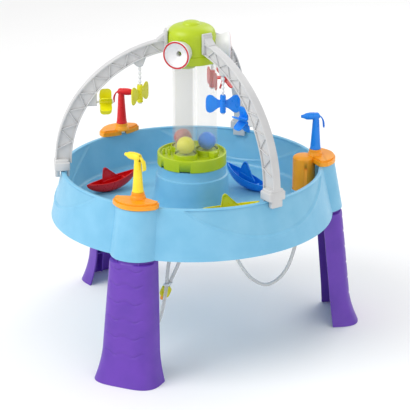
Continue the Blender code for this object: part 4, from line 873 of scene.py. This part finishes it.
def make_bow():
    """Two rounded wings on a ribbed hub, like a bow tie."""
    half, reach = 0.024, 0.044
    corner = [(0.0, 0.40), (0.16, 0.40), (0.30, 0.50), (0.45, 0.70), (0.58, 0.90), (0.68, 0.98)]
    corner += [(0.78, 1.0), (0.88, 0.93), (0.95, 0.78), (0.985, 0.58), (1.0, 0.34), (1.0, 0.12)]
    right = [(x * reach, z * half) for x, z in corner]
    right += [(x, -z) for x, z in reversed(right)]
    outline = [(x, z + half) for x, z in right]
    outline += [(-x, z + half) for x, z in reversed(right[1:-1])]
    wings = rounded(cut_out("wings", outline, 0.0030), 0.0011, 3, 50)
    hub = [(0.0036, 0.0), (0.0064, 0.0), (0.0072, 0.0010)]
    for n in range(7):
        low = 0.0015 + 0.0064 * n
        hub += [(0.0079, low), (0.0080, low + 0.0038), (0.0069, low + 0.0046), (0.0069, low + 0.0057)]
    hub += [(0.0072, 0.0470), (0.0062, 0.0477), (0.0036, 0.0477)]
    core = turned("hub", hub, 48, loop=True)
    trims = [core]
    for side in (-1, 1):
        inset = [(side * (0.0105 + 0.80 * (abs(x) - 0.0105)), half + 0.76 * (z - half)) for x, z in outline if side * x > 0.009]
        raised = cut_out("panel", inset, 0.0040)
        trims.append(rounded(raised, 0.0007, 2, 50))
    return joined("bow", [wings, *trims])


def make_wheel():
    """A paddle wheel along Z: a hub with six blades and a collar at each end."""
    width, corner, reach = 0.0327, 0.010, 0.035
    outline = [(0.004, 0.001), (reach - corner, 0.001)]
    for n in range(1, 7):
        around = math.radians(15 * n)
        outline.append((reach - corner + corner * math.sin(around), 0.001 + corner * (1 - math.cos(around))))
    outline += [(x, width - z) for x, z in reversed(outline)]
    pieces = []
    for n in range(6):
        blade = rounded(cut_out("blade", outline, 0.0029), 0.0009, 2, 50)
        blade.data.transform(turn(60 * n))
        pieces.append(blade)
    hub = [(0.0038, 0), (0.0066, 0), (0.0075, 0.0008), (0.0075, 0.0030), (0.0068, 0.0042)]
    hub += [(0.0068, width - 0.0042), (0.0075, width - 0.0030), (0.0075, width - 0.0008)]
    hub += [(0.0066, width), (0.0038, width)]
    pieces.append(turned("hub", hub, 48, loop=True))
    return joined("wheel", pieces)


def make_arches():
    arch, rod, bow, wheel = make_arch(), make_rod(), make_bow(), make_wheel()
    axle_head = [(0, -0.0041), (0.0030, -0.0039), (0.0050, -0.0030), (0.0056, -0.0016), (0.0052, -0.0002)]
    axle_head += [(0.0030, 0.0), (0.0030, 0.0550), (0, 0.0550)]
    axle = turned("axle", axle_head, 40)
    for name, degrees in ARCHES.items():
        colour = ARCH_COLOURS[name]
        place = station(degrees)
        worn(copied(arch, f"arch_beam_{name}", place), "table", GREY, "grey_plastic", f"arch_{name}")
        hung = place, shift(SPINNER_PLACE, 0, 0)
        worn(copied(rod, f"bead_rod_{name}", *hung), "table", WHITE, "white_plastic", f"spinner_rod_{name}")
        spun = copied(bow, f"bow_{name}", *hung, shift(0, 0, SPINNER_BOTTOM), turn(BOW_TURNS[name]))
        worn(spun, f"bow_{name}", TOYS[colour], f"{colour}_plastic", f"bow_spinner_{name}")
        level = place, shift(WHEEL_INNER - GAP, 0, WHEEL_HEIGHT), turn(90, "Y")
        pin = copied(axle, f"axle_{name}", *level)
        worn(pin, "table", WHITE, "white_plastic", f"wheel_axle_{name}")
        level = place, shift(WHEEL_INNER, 0, WHEEL_HEIGHT), turn(WHEEL_TURNS[name], "X"), turn(90, "Y")
        spun = copied(wheel, f"wheel_{name}", *level)
        worn(spun, f"wheel_{name}", TOYS[colour], f"{colour}_plastic", f"paddle_wheel_{name}")
    for spare in (arch, rod, bow, wheel, axle):
        bpy.data.objects.remove(spare)


# Pumps and squirters

SWIVEL = 0.330
PUMP_FOOT = RIM + GAP
COLLAR_TOP = PUMP_FOOT + 0.0317
SPIGOT_FOOT = COLLAR_TOP - 0.012
HEAD_HEIGHT = 0.5725
PIVOT = (0.010, 0.574)


def plate_outline(inset):
    """The pump plate's outline as (x, y): an outer arc, two round ends and an inner arc."""
    half, outer = 0.059 - inset, 0.3835 - inset
    outline = []
    for n in range(-12, 13):
        share = n / 12
        outline.append((outer - 0.030 * abs(share) ** 2.2, half * share))
    middle, ends = 0.3425, 0.0113 - inset / 2
    for n in range(1, 8):
        around = math.radians(22.5 * n)
        outline.append((middle + ends * math.cos(around), half - 0.0015 + 0.0025 * math.sin(around)))
    for n in range(12, -13, -1):
        share = n / 12
        outline.append((0.3195 + inset + 0.0105 * share * share, 0.86 * half * share))
    for n in range(7, 0, -1):
        around = math.radians(22.5 * n)
        outline.append((middle + ends * math.cos(around), 0.0015 - half - 0.0025 * math.sin(around)))
    return outline


def plate_layer(name, inset, low, high):
    """One layer of a pump's plate, with the squirter's bore through it."""
    layer = laid_flat(cut_out(name, plate_outline(inset), high - low))
    layer.data.transform(shift(0, 0, (low + high) / 2))
    bore = bar("bore", (SWIVEL, 0, low - 0.01), (SWIVEL, 0, high + 0.01), 0.0127, sides=64)
    return rounded(cut(layer, bore), 0.0018, 3, 50)


def make_pump_base(has_barrel):
    """The plate on the rim in two steps, its collar, and the barrel or the riser under it."""
    plate_top = PUMP_FOOT + 0.0164
    pieces = [plate_layer("plate", 0, PUMP_FOOT, PUMP_FOOT + 0.0115)]
    pieces.append(plate_layer("plate_top", 0.0034, PUMP_FOOT + 0.0060, plate_top))
    step = COLLAR_TOP - 0.009
    collar = [(0.0128, COLLAR_TOP - 0.0002), (0.0154, COLLAR_TOP), (0.0163, COLLAR_TOP - 0.0009)]
    collar += [(0.0166, step + 0.0012), (0.0178, step + 0.0002), (0.0186, step - 0.0010)]
    collar += [(0.0190, plate_top + 0.0012), (0.0200, plate_top - 0.0004), (0.0200, plate_top - 0.004)]
    collar += [(0.0128, plate_top - 0.004)]
    collar = turned("collar", collar, 80, loop=True)
    collar.data.transform(shift(SWIVEL, 0, 0))
    pieces.append(collar)
    foot, radius, top = FLOOR + 0.0008, 0.030, 0.463
    port_foot = (foot if has_barrel else PUMP_FOOT) - 0.024
    port = [(0.0030, port_foot), (0.0040, port_foot), (0.0055, port_foot + 0.0038)]
    port += [(0.0048, port_foot + 0.0044), (0.0055, port_foot + 0.0082), (0.0048, port_foot + 0.0088)]
    port += [(0.0055, port_foot + 0.0132), (0.0055, port_foot + 0.025), (0.0030, port_foot + 0.025)]
    port = turned("port", port, 32, loop=True)
    port.data.transform(shift(WELL if has_barrel else RISER, 0, 0))
    pieces.append(port)
    if has_barrel:
        barrel = [(0.0, foot), (0.0270, foot), (0.0300, foot + 0.002), (radius, 0.4560)]
        barrel += [(radius - 0.0004, 0.4585), (radius - 0.0024, top - 0.0010)]
        barrel += [(radius - 0.0060, top + 0.0014), (0.0150, top + 0.0034), (0.0, top + 0.0040)]
        barrel = turned("barrel", barrel, 96)
        barrel.data.transform(shift(WELL, 0, 0))
        bore = bar("bore", (SWIVEL, 0, PUMP_FOOT - 0.006), (SWIVEL, 0, COLLAR_TOP), 0.0127, sides=64)
        cut(barrel, bore)
        half = 0.0035
        intake = block("intake", (WELL - half, -0.040, 0.432), (WELL + half, -0.026, 0.439), 0.0006, 1)
        pieces.append(cut(barrel, intake))
    return joined("pump", pieces)


def make_squirter():
    """A tapered stem with a collar ring, a beaked head, a slot for its trigger and a nozzle."""
    foot, top = COLLAR_TOP + GAP, 0.558
    stem = [(0.0052, SPIGOT_FOOT), (0.0112, SPIGOT_FOOT), (0.0120, SPIGOT_FOOT + 0.001)]
    stem += [(0.0120, foot), (0.0141, foot), (0.0147, foot + 0.0008), (0.0147, foot + 0.0030)]
    stem += [(0.0139, foot + 0.0042)]
    for n in range(1, 7):
        share = n / 6
        stem.append((0.0139 - 0.0050 * share**0.9, foot + 0.0042 + (top - foot - 0.0042) * share))
    stem += [(0.0083, HEAD_HEIGHT - 0.004), (0.0052, HEAD_HEIGHT - 0.004)]
    stem = turned("stem", stem, 64, loop=True)
    tip = 0.040
    head = [(0.0018, tip - 0.016), (0.0018, tip), (0.0034, tip), (0.0041, tip - 0.0006)]
    head += [(0.0044, tip - 0.0035), (0.0060, tip - 0.0085), (0.0082, 0.0272), (0.0093, 0.0225)]
    for n in range(9):
        around = math.radians(90 * n / 8)
        head.append((0.0095 * math.cos(around), -0.002 - 0.0095 * math.sin(around)))
    head = turned("head", head + [(0, tip - 0.016)], 64, loop=False)
    head.data.transform(shift(0, 0, HEAD_HEIGHT) @ turn(90, "Y"))
    brow = cut_out("brow", [(-0.004, 0.5770), (0.004, 0.5815), (0.018, 0.5815), (0.027, 0.5785), (0.027, 0.574), (-0.004, 0.574)], 0.0125)
    brow = rounded(brow, 0.0016, 3)
    pieces = []
    for piece in (head, stem, brow):
        low, high = (-0.025, -0.0042, HEAD_HEIGHT - 0.011), (0.0145, 0.0042, HEAD_HEIGHT + 0.0065)
        if piece is brow:
            high = (0.0145, 0.0042, HEAD_HEIGHT + 0.012)
        pieces.append(cut(piece, block("slot", low, high, 0.0004, 1)))
    return joined("squirter", pieces)


def make_trigger():
    """A lever that runs back over the plunger and hangs down behind the stem, with a finger hook."""
    knots = [(0.001, 0.0), (-0.006, 0.0003), (-0.013, 0.0003), (-0.019, -0.0012), (-0.0240, -0.0048)]
    knots += [(-0.0272, -0.0100), (-0.0292, -0.0165), (-0.0300, -0.0245), (-0.0305, -0.0330)]
    widths = [0.0034, 0.0033, 0.0032, 0.0034, 0.0036, 0.0036, 0.0033, 0.0031, 0.0030]
    sides = ([], [])
    for n, (x, z) in enumerate(knots):
        ahead = Vector(knots[min(n + 1, len(knots) - 1)]) - Vector(knots[max(n - 1, 0)])
        across = Vector((-ahead.y, ahead.x)).normalized() * widths[n] / 2
        sides[0].append((x + across.x, z + across.y))
        sides[1].append((x - across.x, z - across.y))
    lever = rounded(cut_out("lever", sides[0] + sides[1][::-1], 0.0078), 0.0008, 3)
    pad = [(-0.0266, -0.0085), (-0.0284, -0.0140), (-0.0295, -0.0200), (-0.0302, -0.0265)]
    pad += [(-0.0300, -0.0335), (-0.0322, -0.0335), (-0.0330, -0.0265), (-0.0322, -0.0190)]
    pad += [(-0.0306, -0.0125), (-0.0284, -0.0078)]
    pad = rounded(cut_out("pad", pad, 0.0130), 0.0009, 3)
    hub = bar("hub", (0, -0.0039, 0), (0, 0.0039, 0), 0.0030, sides=32)
    pin = bar("pin", (0, -0.0079, 0), (0, 0.0079, 0), 0.0015, sides=24)
    return joined("trigger", [lever, pad, hub, pin])


def make_pumps():
    squirter, trigger = make_squirter(), make_trigger()
    for name, degrees in LEGS.items():
        place = station(degrees)
        base = placed(make_pump_base(name == BARREL_STATION), f"pump_housing_{name}", place)
        worn(base, "table", ORANGE, "orange_plastic", f"pump_base_{name}")
        aimed = place, shift(SWIVEL, 0, 0), turn(AIMS[name] - degrees)
        finish, slot = SQUIRTERS[name], f"{LEG_COLOURS[name]}_plastic"
        body = copied(squirter, f"squirter_body_{name}", *aimed)
        worn(body, f"squirter_{name}", finish, slot, f"squirter_{name}")
        lever = copied(trigger, f"trigger_lever_{name}", *aimed, shift(PIVOT[0], 0, PIVOT[1]))
        worn(lever, f"trigger_{name}", finish, slot, f"trigger_{name}")
    for spare in (squirter, trigger):
        bpy.data.objects.remove(spare)


# Hoses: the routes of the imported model, in each leg's frame

HOSE_RADIUS = 0.00475
HOSE_ROUTES = {
    "front": [
        (0.040, 0.000, 0.4374),
        (0.040, 0.000, 0.4180),
        (0.049, 0.000, 0.370),
        (0.092, 0.000, 0.300),
        (0.149, 0.000, 0.228),
        (0.171, 0.000, 0.152),
        (0.207, 0.000, 0.093),
        (0.250, 0.000, 0.082),
        (0.292, 0.000, 0.112),
        (0.322, 0.000, 0.180),
        (0.344, 0.000, 0.265),
        (0.356, 0.000, 0.345),
        (0.356, 0.000, 0.4060),
        (0.356, 0.000, 0.4259),
    ],
    "right": [
        (0.040, 0.000, 0.4374),
        (0.040, 0.000, 0.4180),
        (0.045, 0.000, 0.370),
        (0.066, 0.000, 0.290),
        (0.112, 0.000, 0.195),
        (0.145, 0.000, 0.137),
        (0.172, 0.000, 0.109),
        (0.203, 0.000, 0.097),
        (0.235, 0.000, 0.112),
        (0.262, 0.000, 0.149),
        (0.282, 0.000, 0.215),
        (0.300, 0.000, 0.3080),
        (0.300, 0.000, 0.3264),
    ],
    "left": [
        (0.040, 0.000, 0.4374),
        (0.040, 0.000, 0.4180),
        (0.048, 0.000, 0.370),
        (0.075, 0.000, 0.300),
        (0.125, 0.000, 0.240),
        (0.185, 0.000, 0.200),
        (0.245, 0.000, 0.197),
        (0.300, 0.000, 0.226),
        (0.339, 0.000, 0.280),
        (0.356, 0.000, 0.345),
        (0.356, 0.000, 0.4060),
        (0.356, 0.000, 0.4259),
    ],
}
DRAIN_ROUTE = [
    (0.140, 0.040, 0.3289),
    (0.140, 0.040, 0.3100),
    (0.144, 0.036, 0.270),
    (0.149, 0.027, 0.228),
    (0.150, 0.011, 0.190),
    (0.150, -0.003, 0.1600),
]
VALVE_TOP = Vector(DRAIN_ROUTE[-1]) + Vector((0.0, -0.40, -0.92)).normalized() * 2 * GAP


def smooth_path(knots, spacing):
    """Points at about the spacing along a Catmull-Rom curve through the knots."""
    knots = [Vector(k) for k in knots]
    knots = [2 * knots[0] - knots[1], *knots, 2 * knots[-1] - knots[-2]]
    points = [knots[1]]
    for a, b, c, d in zip(knots, knots[1:], knots[2:], knots[3:]):
        steps = max(1, round((c - b).length / spacing))
        for n in range(1, steps + 1):
            t = n / steps
            across = (c - a) * t + (2 * a - 5 * b + 4 * c - d) * t**2 + (3 * b - a - 3 * c + d) * t**3
            points.append(b + across / 2)
    return points


def make_hose(name, route, degrees):
    """A soft hose along its route in a leg's frame, as one open spline."""
    points = [station(degrees) @ point for point in smooth_path(route, 0.020)]
    curve = bpy.data.curves.new(name, "CURVE")
    curve.dimensions = "3D"
    curve.bevel_depth = HOSE_RADIUS
    curve.bevel_resolution = 6
    curve.use_fill_caps = True
    curve.resolution_u = 6
    line = curve.splines.new("BEZIER")
    line.bezier_points.add(len(points) - 1)
    for end, point in zip(line.bezier_points, points):
        end.co = point
        end.handle_left_type = end.handle_right_type = "AUTO"
    hose = bpy.data.objects.new(name, curve)
    bpy.context.scene.collection.objects.link(hose)
    length = sum((b - a).length for a, b in zip(points, points[1:]))
    worn(hose, "table", VINYL, "hose_vinyl", name.replace("soft_", ""))
    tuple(points[0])


def make_hoses():
    for name, degrees in LEGS.items():
        make_hose(f"soft_pump_hose_{name}", HOSE_ROUTES[name], degrees)
    # The drain hose ends in a valve with a plug, and a clip holds it to the front hose
    tilt = Vector((0.0, -0.40, -0.92)).to_track_quat("Z", "Y").to_matrix().to_4x4()
    place = station(LEGS["front"]), Matrix.Translation(VALVE_TOP), tilt
    valve = [(0.0, 0.0), (0.0068, 0.0), (0.0076, 0.0010), (0.0078, 0.0030), (0.0110, 0.0048)]
    valve += [(0.0130, 0.0068), (0.0135, 0.0090)]
    for n in range(8):
        valve += [(0.0135, 0.0100 + 0.0020 * n), (0.0128, 0.0107 + 0.0020 * n), (0.0128, 0.0113 + 0.0020 * n)]
    valve += [(0.0134, 0.0268), (0.0128, 0.0290), (0.0112, 0.0300), (0.0, 0.0300)]
    plug = [(0.0, 0.0303), (0.0079, 0.0303), (0.0085, 0.0312), (0.0085, 0.0345), (0.0078, 0.0356)]
    plug += [(0.0070, 0.0362), (0.0070, 0.0415), (0.0060, 0.0431), (0.0, 0.0433)]
    valve, plug = turned("valve", valve, 64), turned("plug", plug, 48)
    body = placed(valve, "drain_valve_body", *place)
    worn(body, "table", TOYS["yellow"], "yellow_plastic", "drain_valve")
    end = placed(plug, "drain_plug", *place)
    worn(end, "table", ORANGE, "orange_plastic", "drain_cap")
    make_hose("soft_drain_hose", DRAIN_ROUTE, LEGS["front"])


# Boats

BOAT_LENGTH = 0.150
BOAT_BEAM = 0.045
BOAT_DEPTH = 0.030
BOAT_SHEER = 0.007
FIN_HEIGHT = 0.040
FIN_LENGTH = 0.058


def hull_ring(length, beam, depth, along):
    """The hull's half beam, depth and lift at a distance along it."""
    full = max(0.0, 1 - (2 * along / length) ** 2)
    return max(0.0011, beam / 2 * full**0.85), depth * (0.12 + 0.88 * full**0.6), BOAT_SHEER * (1 - full)


def make_boat():
    """A double-ended open hull with a rolled edge, and a fin with a raised border."""
    wall = 0.0022
    around = 16

    def place(column, row):
        along = math.sin((row / 40 - 0.5) * math.pi) * BOAT_LENGTH / 2
        half, deep, lift = hull_ring(BOAT_LENGTH, BOAT_BEAM, BOAT_DEPTH, along)
        inside = column > around
        step = (column if not inside else 2 * around + 1 - column) / around
        turned_by = math.pi * step
        share = (1 - 2.0 * wall / BOAT_BEAM) if inside else 1.0
        thick = wall if inside else 0.0
        y = (half - thick * min(1.0, half / 0.006) * 0.9) * math.cos(turned_by) if inside else half * math.cos(turned_by)
        z = lift - (deep * share) * math.sin(turned_by) ** 0.8 + (thick * 0.5 if inside else 0)
        x = along * (1 - 4 * wall / BOAT_LENGTH) if inside else along
        if step in (0.0, 1.0):
            z = lift + 0.0010
        return Vector((x, y, z))

    rows = 40
    hull = woven("hull", 2 * around + 2, rows, lambda c, r: place(c % (2 * around + 2), r), 50.0, caps=True)
    # A bead round the hull's edge
    rail = bpy.data.curves.new("rail", "CURVE")
    rail.dimensions = "3D"
    rail.bevel_depth = 0.0015
    rail.bevel_resolution = 3
    line = rail.splines.new("POLY")
    edge = []
    for side in (1, -1):
        for n in range(36):
            along = side * math.sin((n / 36 - 0.5) * math.pi) * (BOAT_LENGTH / 2 - 0.0016)
            half, _, lift = hull_ring(BOAT_LENGTH, BOAT_BEAM, BOAT_DEPTH, along)
            edge.append((along, side * (half - 0.0011), lift + 0.0003))
    line.points.add(len(edge) - 1)
    for point, place_of in zip(line.points, edge):
        point.co = (*place_of, 1)
    line.use_cyclic_u = True
    rail_piece = bpy.data.objects.new("rail", rail)
    bpy.context.scene.collection.objects.link(rail_piece)
    bpy.ops.object.select_all(action="DESELECT")
    rail_piece.select_set(True)
    bpy.context.view_layer.objects.active = rail_piece
    bpy.ops.object.convert(target="MESH")
    edit(rail_piece)
    closed_up()
    rail_piece = done(60.0)
    half = FIN_LENGTH / 2
    top = [(-half + 0.001, 0.006), (-half + 0.004, 0.020), (-half + 0.007, 0.0335), (-half + 0.0088, 0.0372)]
    top += [(-half + 0.0112, 0.0393), (-half + 0.014, 0.0400), (-half + 0.0170, 0.0391)]
    top += [(-half + 0.0205, 0.0365), (-half + 0.026, 0.0295), (-half + 0.036, 0.0195)]
    top += [(-half + 0.043, 0.0115), (half - 0.008, 0.0062), (half - 0.001, 0.0015)]
    outline = [(-half, -0.003), *top, (half, -0.003), (half - 0.008, -0.026), (0.008 - half, -0.026)]
    fin = rounded(cut_out("fin", outline, 0.0028), 0.0009, 2, 50)
    middle = Vector((-0.010, 0.013))
    inset = [(middle.x + 0.78 * (x - middle.x), middle.y + 0.78 * (z - middle.y)) for x, z in top]
    rings = []
    for side in (-1, 1):
        raised = cut_out("border", [*top, (half, 0.0005), (-half + 0.0005, 0.0005)], 0.0008)
        hole = cut_out("hole", [*inset, (0.014, 0.0042), (-0.0230, 0.0042)], 0.01)
        raised = cut(raised, hole)
        raised.data.transform(shift(0, side * 0.0016, 0))
        rings.append(raised)
    seat = block("seat", (0.034, -0.0125, -0.006), (0.0400, 0.0125, -0.0035), 0.0008, 2)
    return joined("boat", [hull, rail_piece, fin, *rings, seat])


def make_boats():
    boat = make_boat()
    for colour, (place, heading, pitch) in BOATS.items():
        lean = turn(heading) @ turn(-pitch, "Y")
        low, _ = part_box(f"boat_{colour}")
        lowest = min((lean @ point.co).z for point in boat.data.vertices)
        spot = Matrix.Translation((place[0], place[1] + AXIS.y, low[2] - lowest))
        toy = copied(boat, f"toy_boat_{colour}", spot, lean)
        worn(toy, f"boat_{colour}", TOYS[colour], f"{colour}_plastic", f"boat_{colour}")
    bpy.data.objects.remove(boat)


# Nodes whose shape is right keep it and take a better finish


def refinish():
    finishes = {"plunger": WHITE, "return_spring": STEEL}
    for name in LEGS:
        for kind, finish in finishes.items():
            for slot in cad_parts[f"{kind}_{name}"].material_slots:
                slot.material = finish
    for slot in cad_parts["hose_clip"].material_slots:
        slot.material = WHITE


# Stage


def matt_floor():
    """Pale matt vinyl under the table, with a faint cloud of wear."""
    made = bpy.data.materials.new("pale_matt_floor")
    made.use_nodes = True
    tree = made.node_tree
    shader = tree.nodes["Principled BSDF"]
    shader.inputs["Roughness"].default_value = 0.85
    place = add(tree, "ShaderNodeTexCoord").outputs["Object"]
    cloud = add(tree, "ShaderNodeTexNoise", [("Vector", place)], Scale=1.6)
    mix = add(tree, "ShaderNodeMix", [("Factor", cloud.outputs["Fac"])], data_type="RGBA")
    for i, value in ((6, linear("#F6F6F6")), (7, linear("#FBFBFB"))):
        mix.inputs[i].default_value = value
    tree.links.new(shader.inputs["Base Color"], mix.outputs[2])
    return made


def area_light(name, place, target, size, power):
    data = bpy.data.lights.new(name, "AREA")
    data.energy = power
    data.size = size
    light = bpy.data.objects.new(name, data)
    bpy.context.scene.collection.objects.link(light)
    light.location = place
    light.rotation_euler = (Vector(target) - Vector(place)).to_track_quat("-Z", "Y").to_euler()


def make_stage():
    bpy.ops.object.select_all(action="DESELECT")
    bpy.ops.mesh.primitive_plane_add(size=60, location=(0, 0, -0.0005))
    ground = bpy.context.object
    ground.name = "floor"
    ground.data.materials.append(matt_floor())
    middle = (0.0, 0.0, 0.40)
    area_light("key", (-2.0, -2.2, 3.4), middle, 2.6, 88)
    area_light("fill", (3.2, -2.0, 1.8), middle, 3.0, 14)
    area_light("back", (0.8, 3.2, 2.6), middle, 2.4, 36)
    world = bpy.data.worlds.new("pale_sky")
    world.use_nodes = True
    world.node_tree.nodes["Background"].inputs["Color"].default_value = (1, 1, 1, 1)
    world.node_tree.nodes["Background"].inputs["Strength"].default_value = 0.80
    bpy.context.scene.world = world
    # Plain colours, so that the plastics look as their own sRGB values say
    bpy.context.scene.view_settings.view_transform = "Standard"


def make_camera():
    """The view from the front right, a little above the table."""
    data = bpy.data.cameras.new("camera")
    data.lens = 155.4
    data.sensor_width = 36
    data.clip_end = 100
    camera = bpy.data.objects.new("camera", data)
    bpy.context.scene.collection.objects.link(camera)
    camera.location = (1.794, -4.011, 1.960)
    aim = Vector((0.0270, 0.0639, 0.3315)) - camera.location
    camera.rotation_euler = aim.to_track_quat("-Z", "Y").to_euler()
    bpy.context.scene.camera = camera


make_camera()
make_hoses()
make_basin()
make_legs()
make_tower()
make_targets()
make_arches()
make_pumps()
make_boats()
refinish()
make_stage()
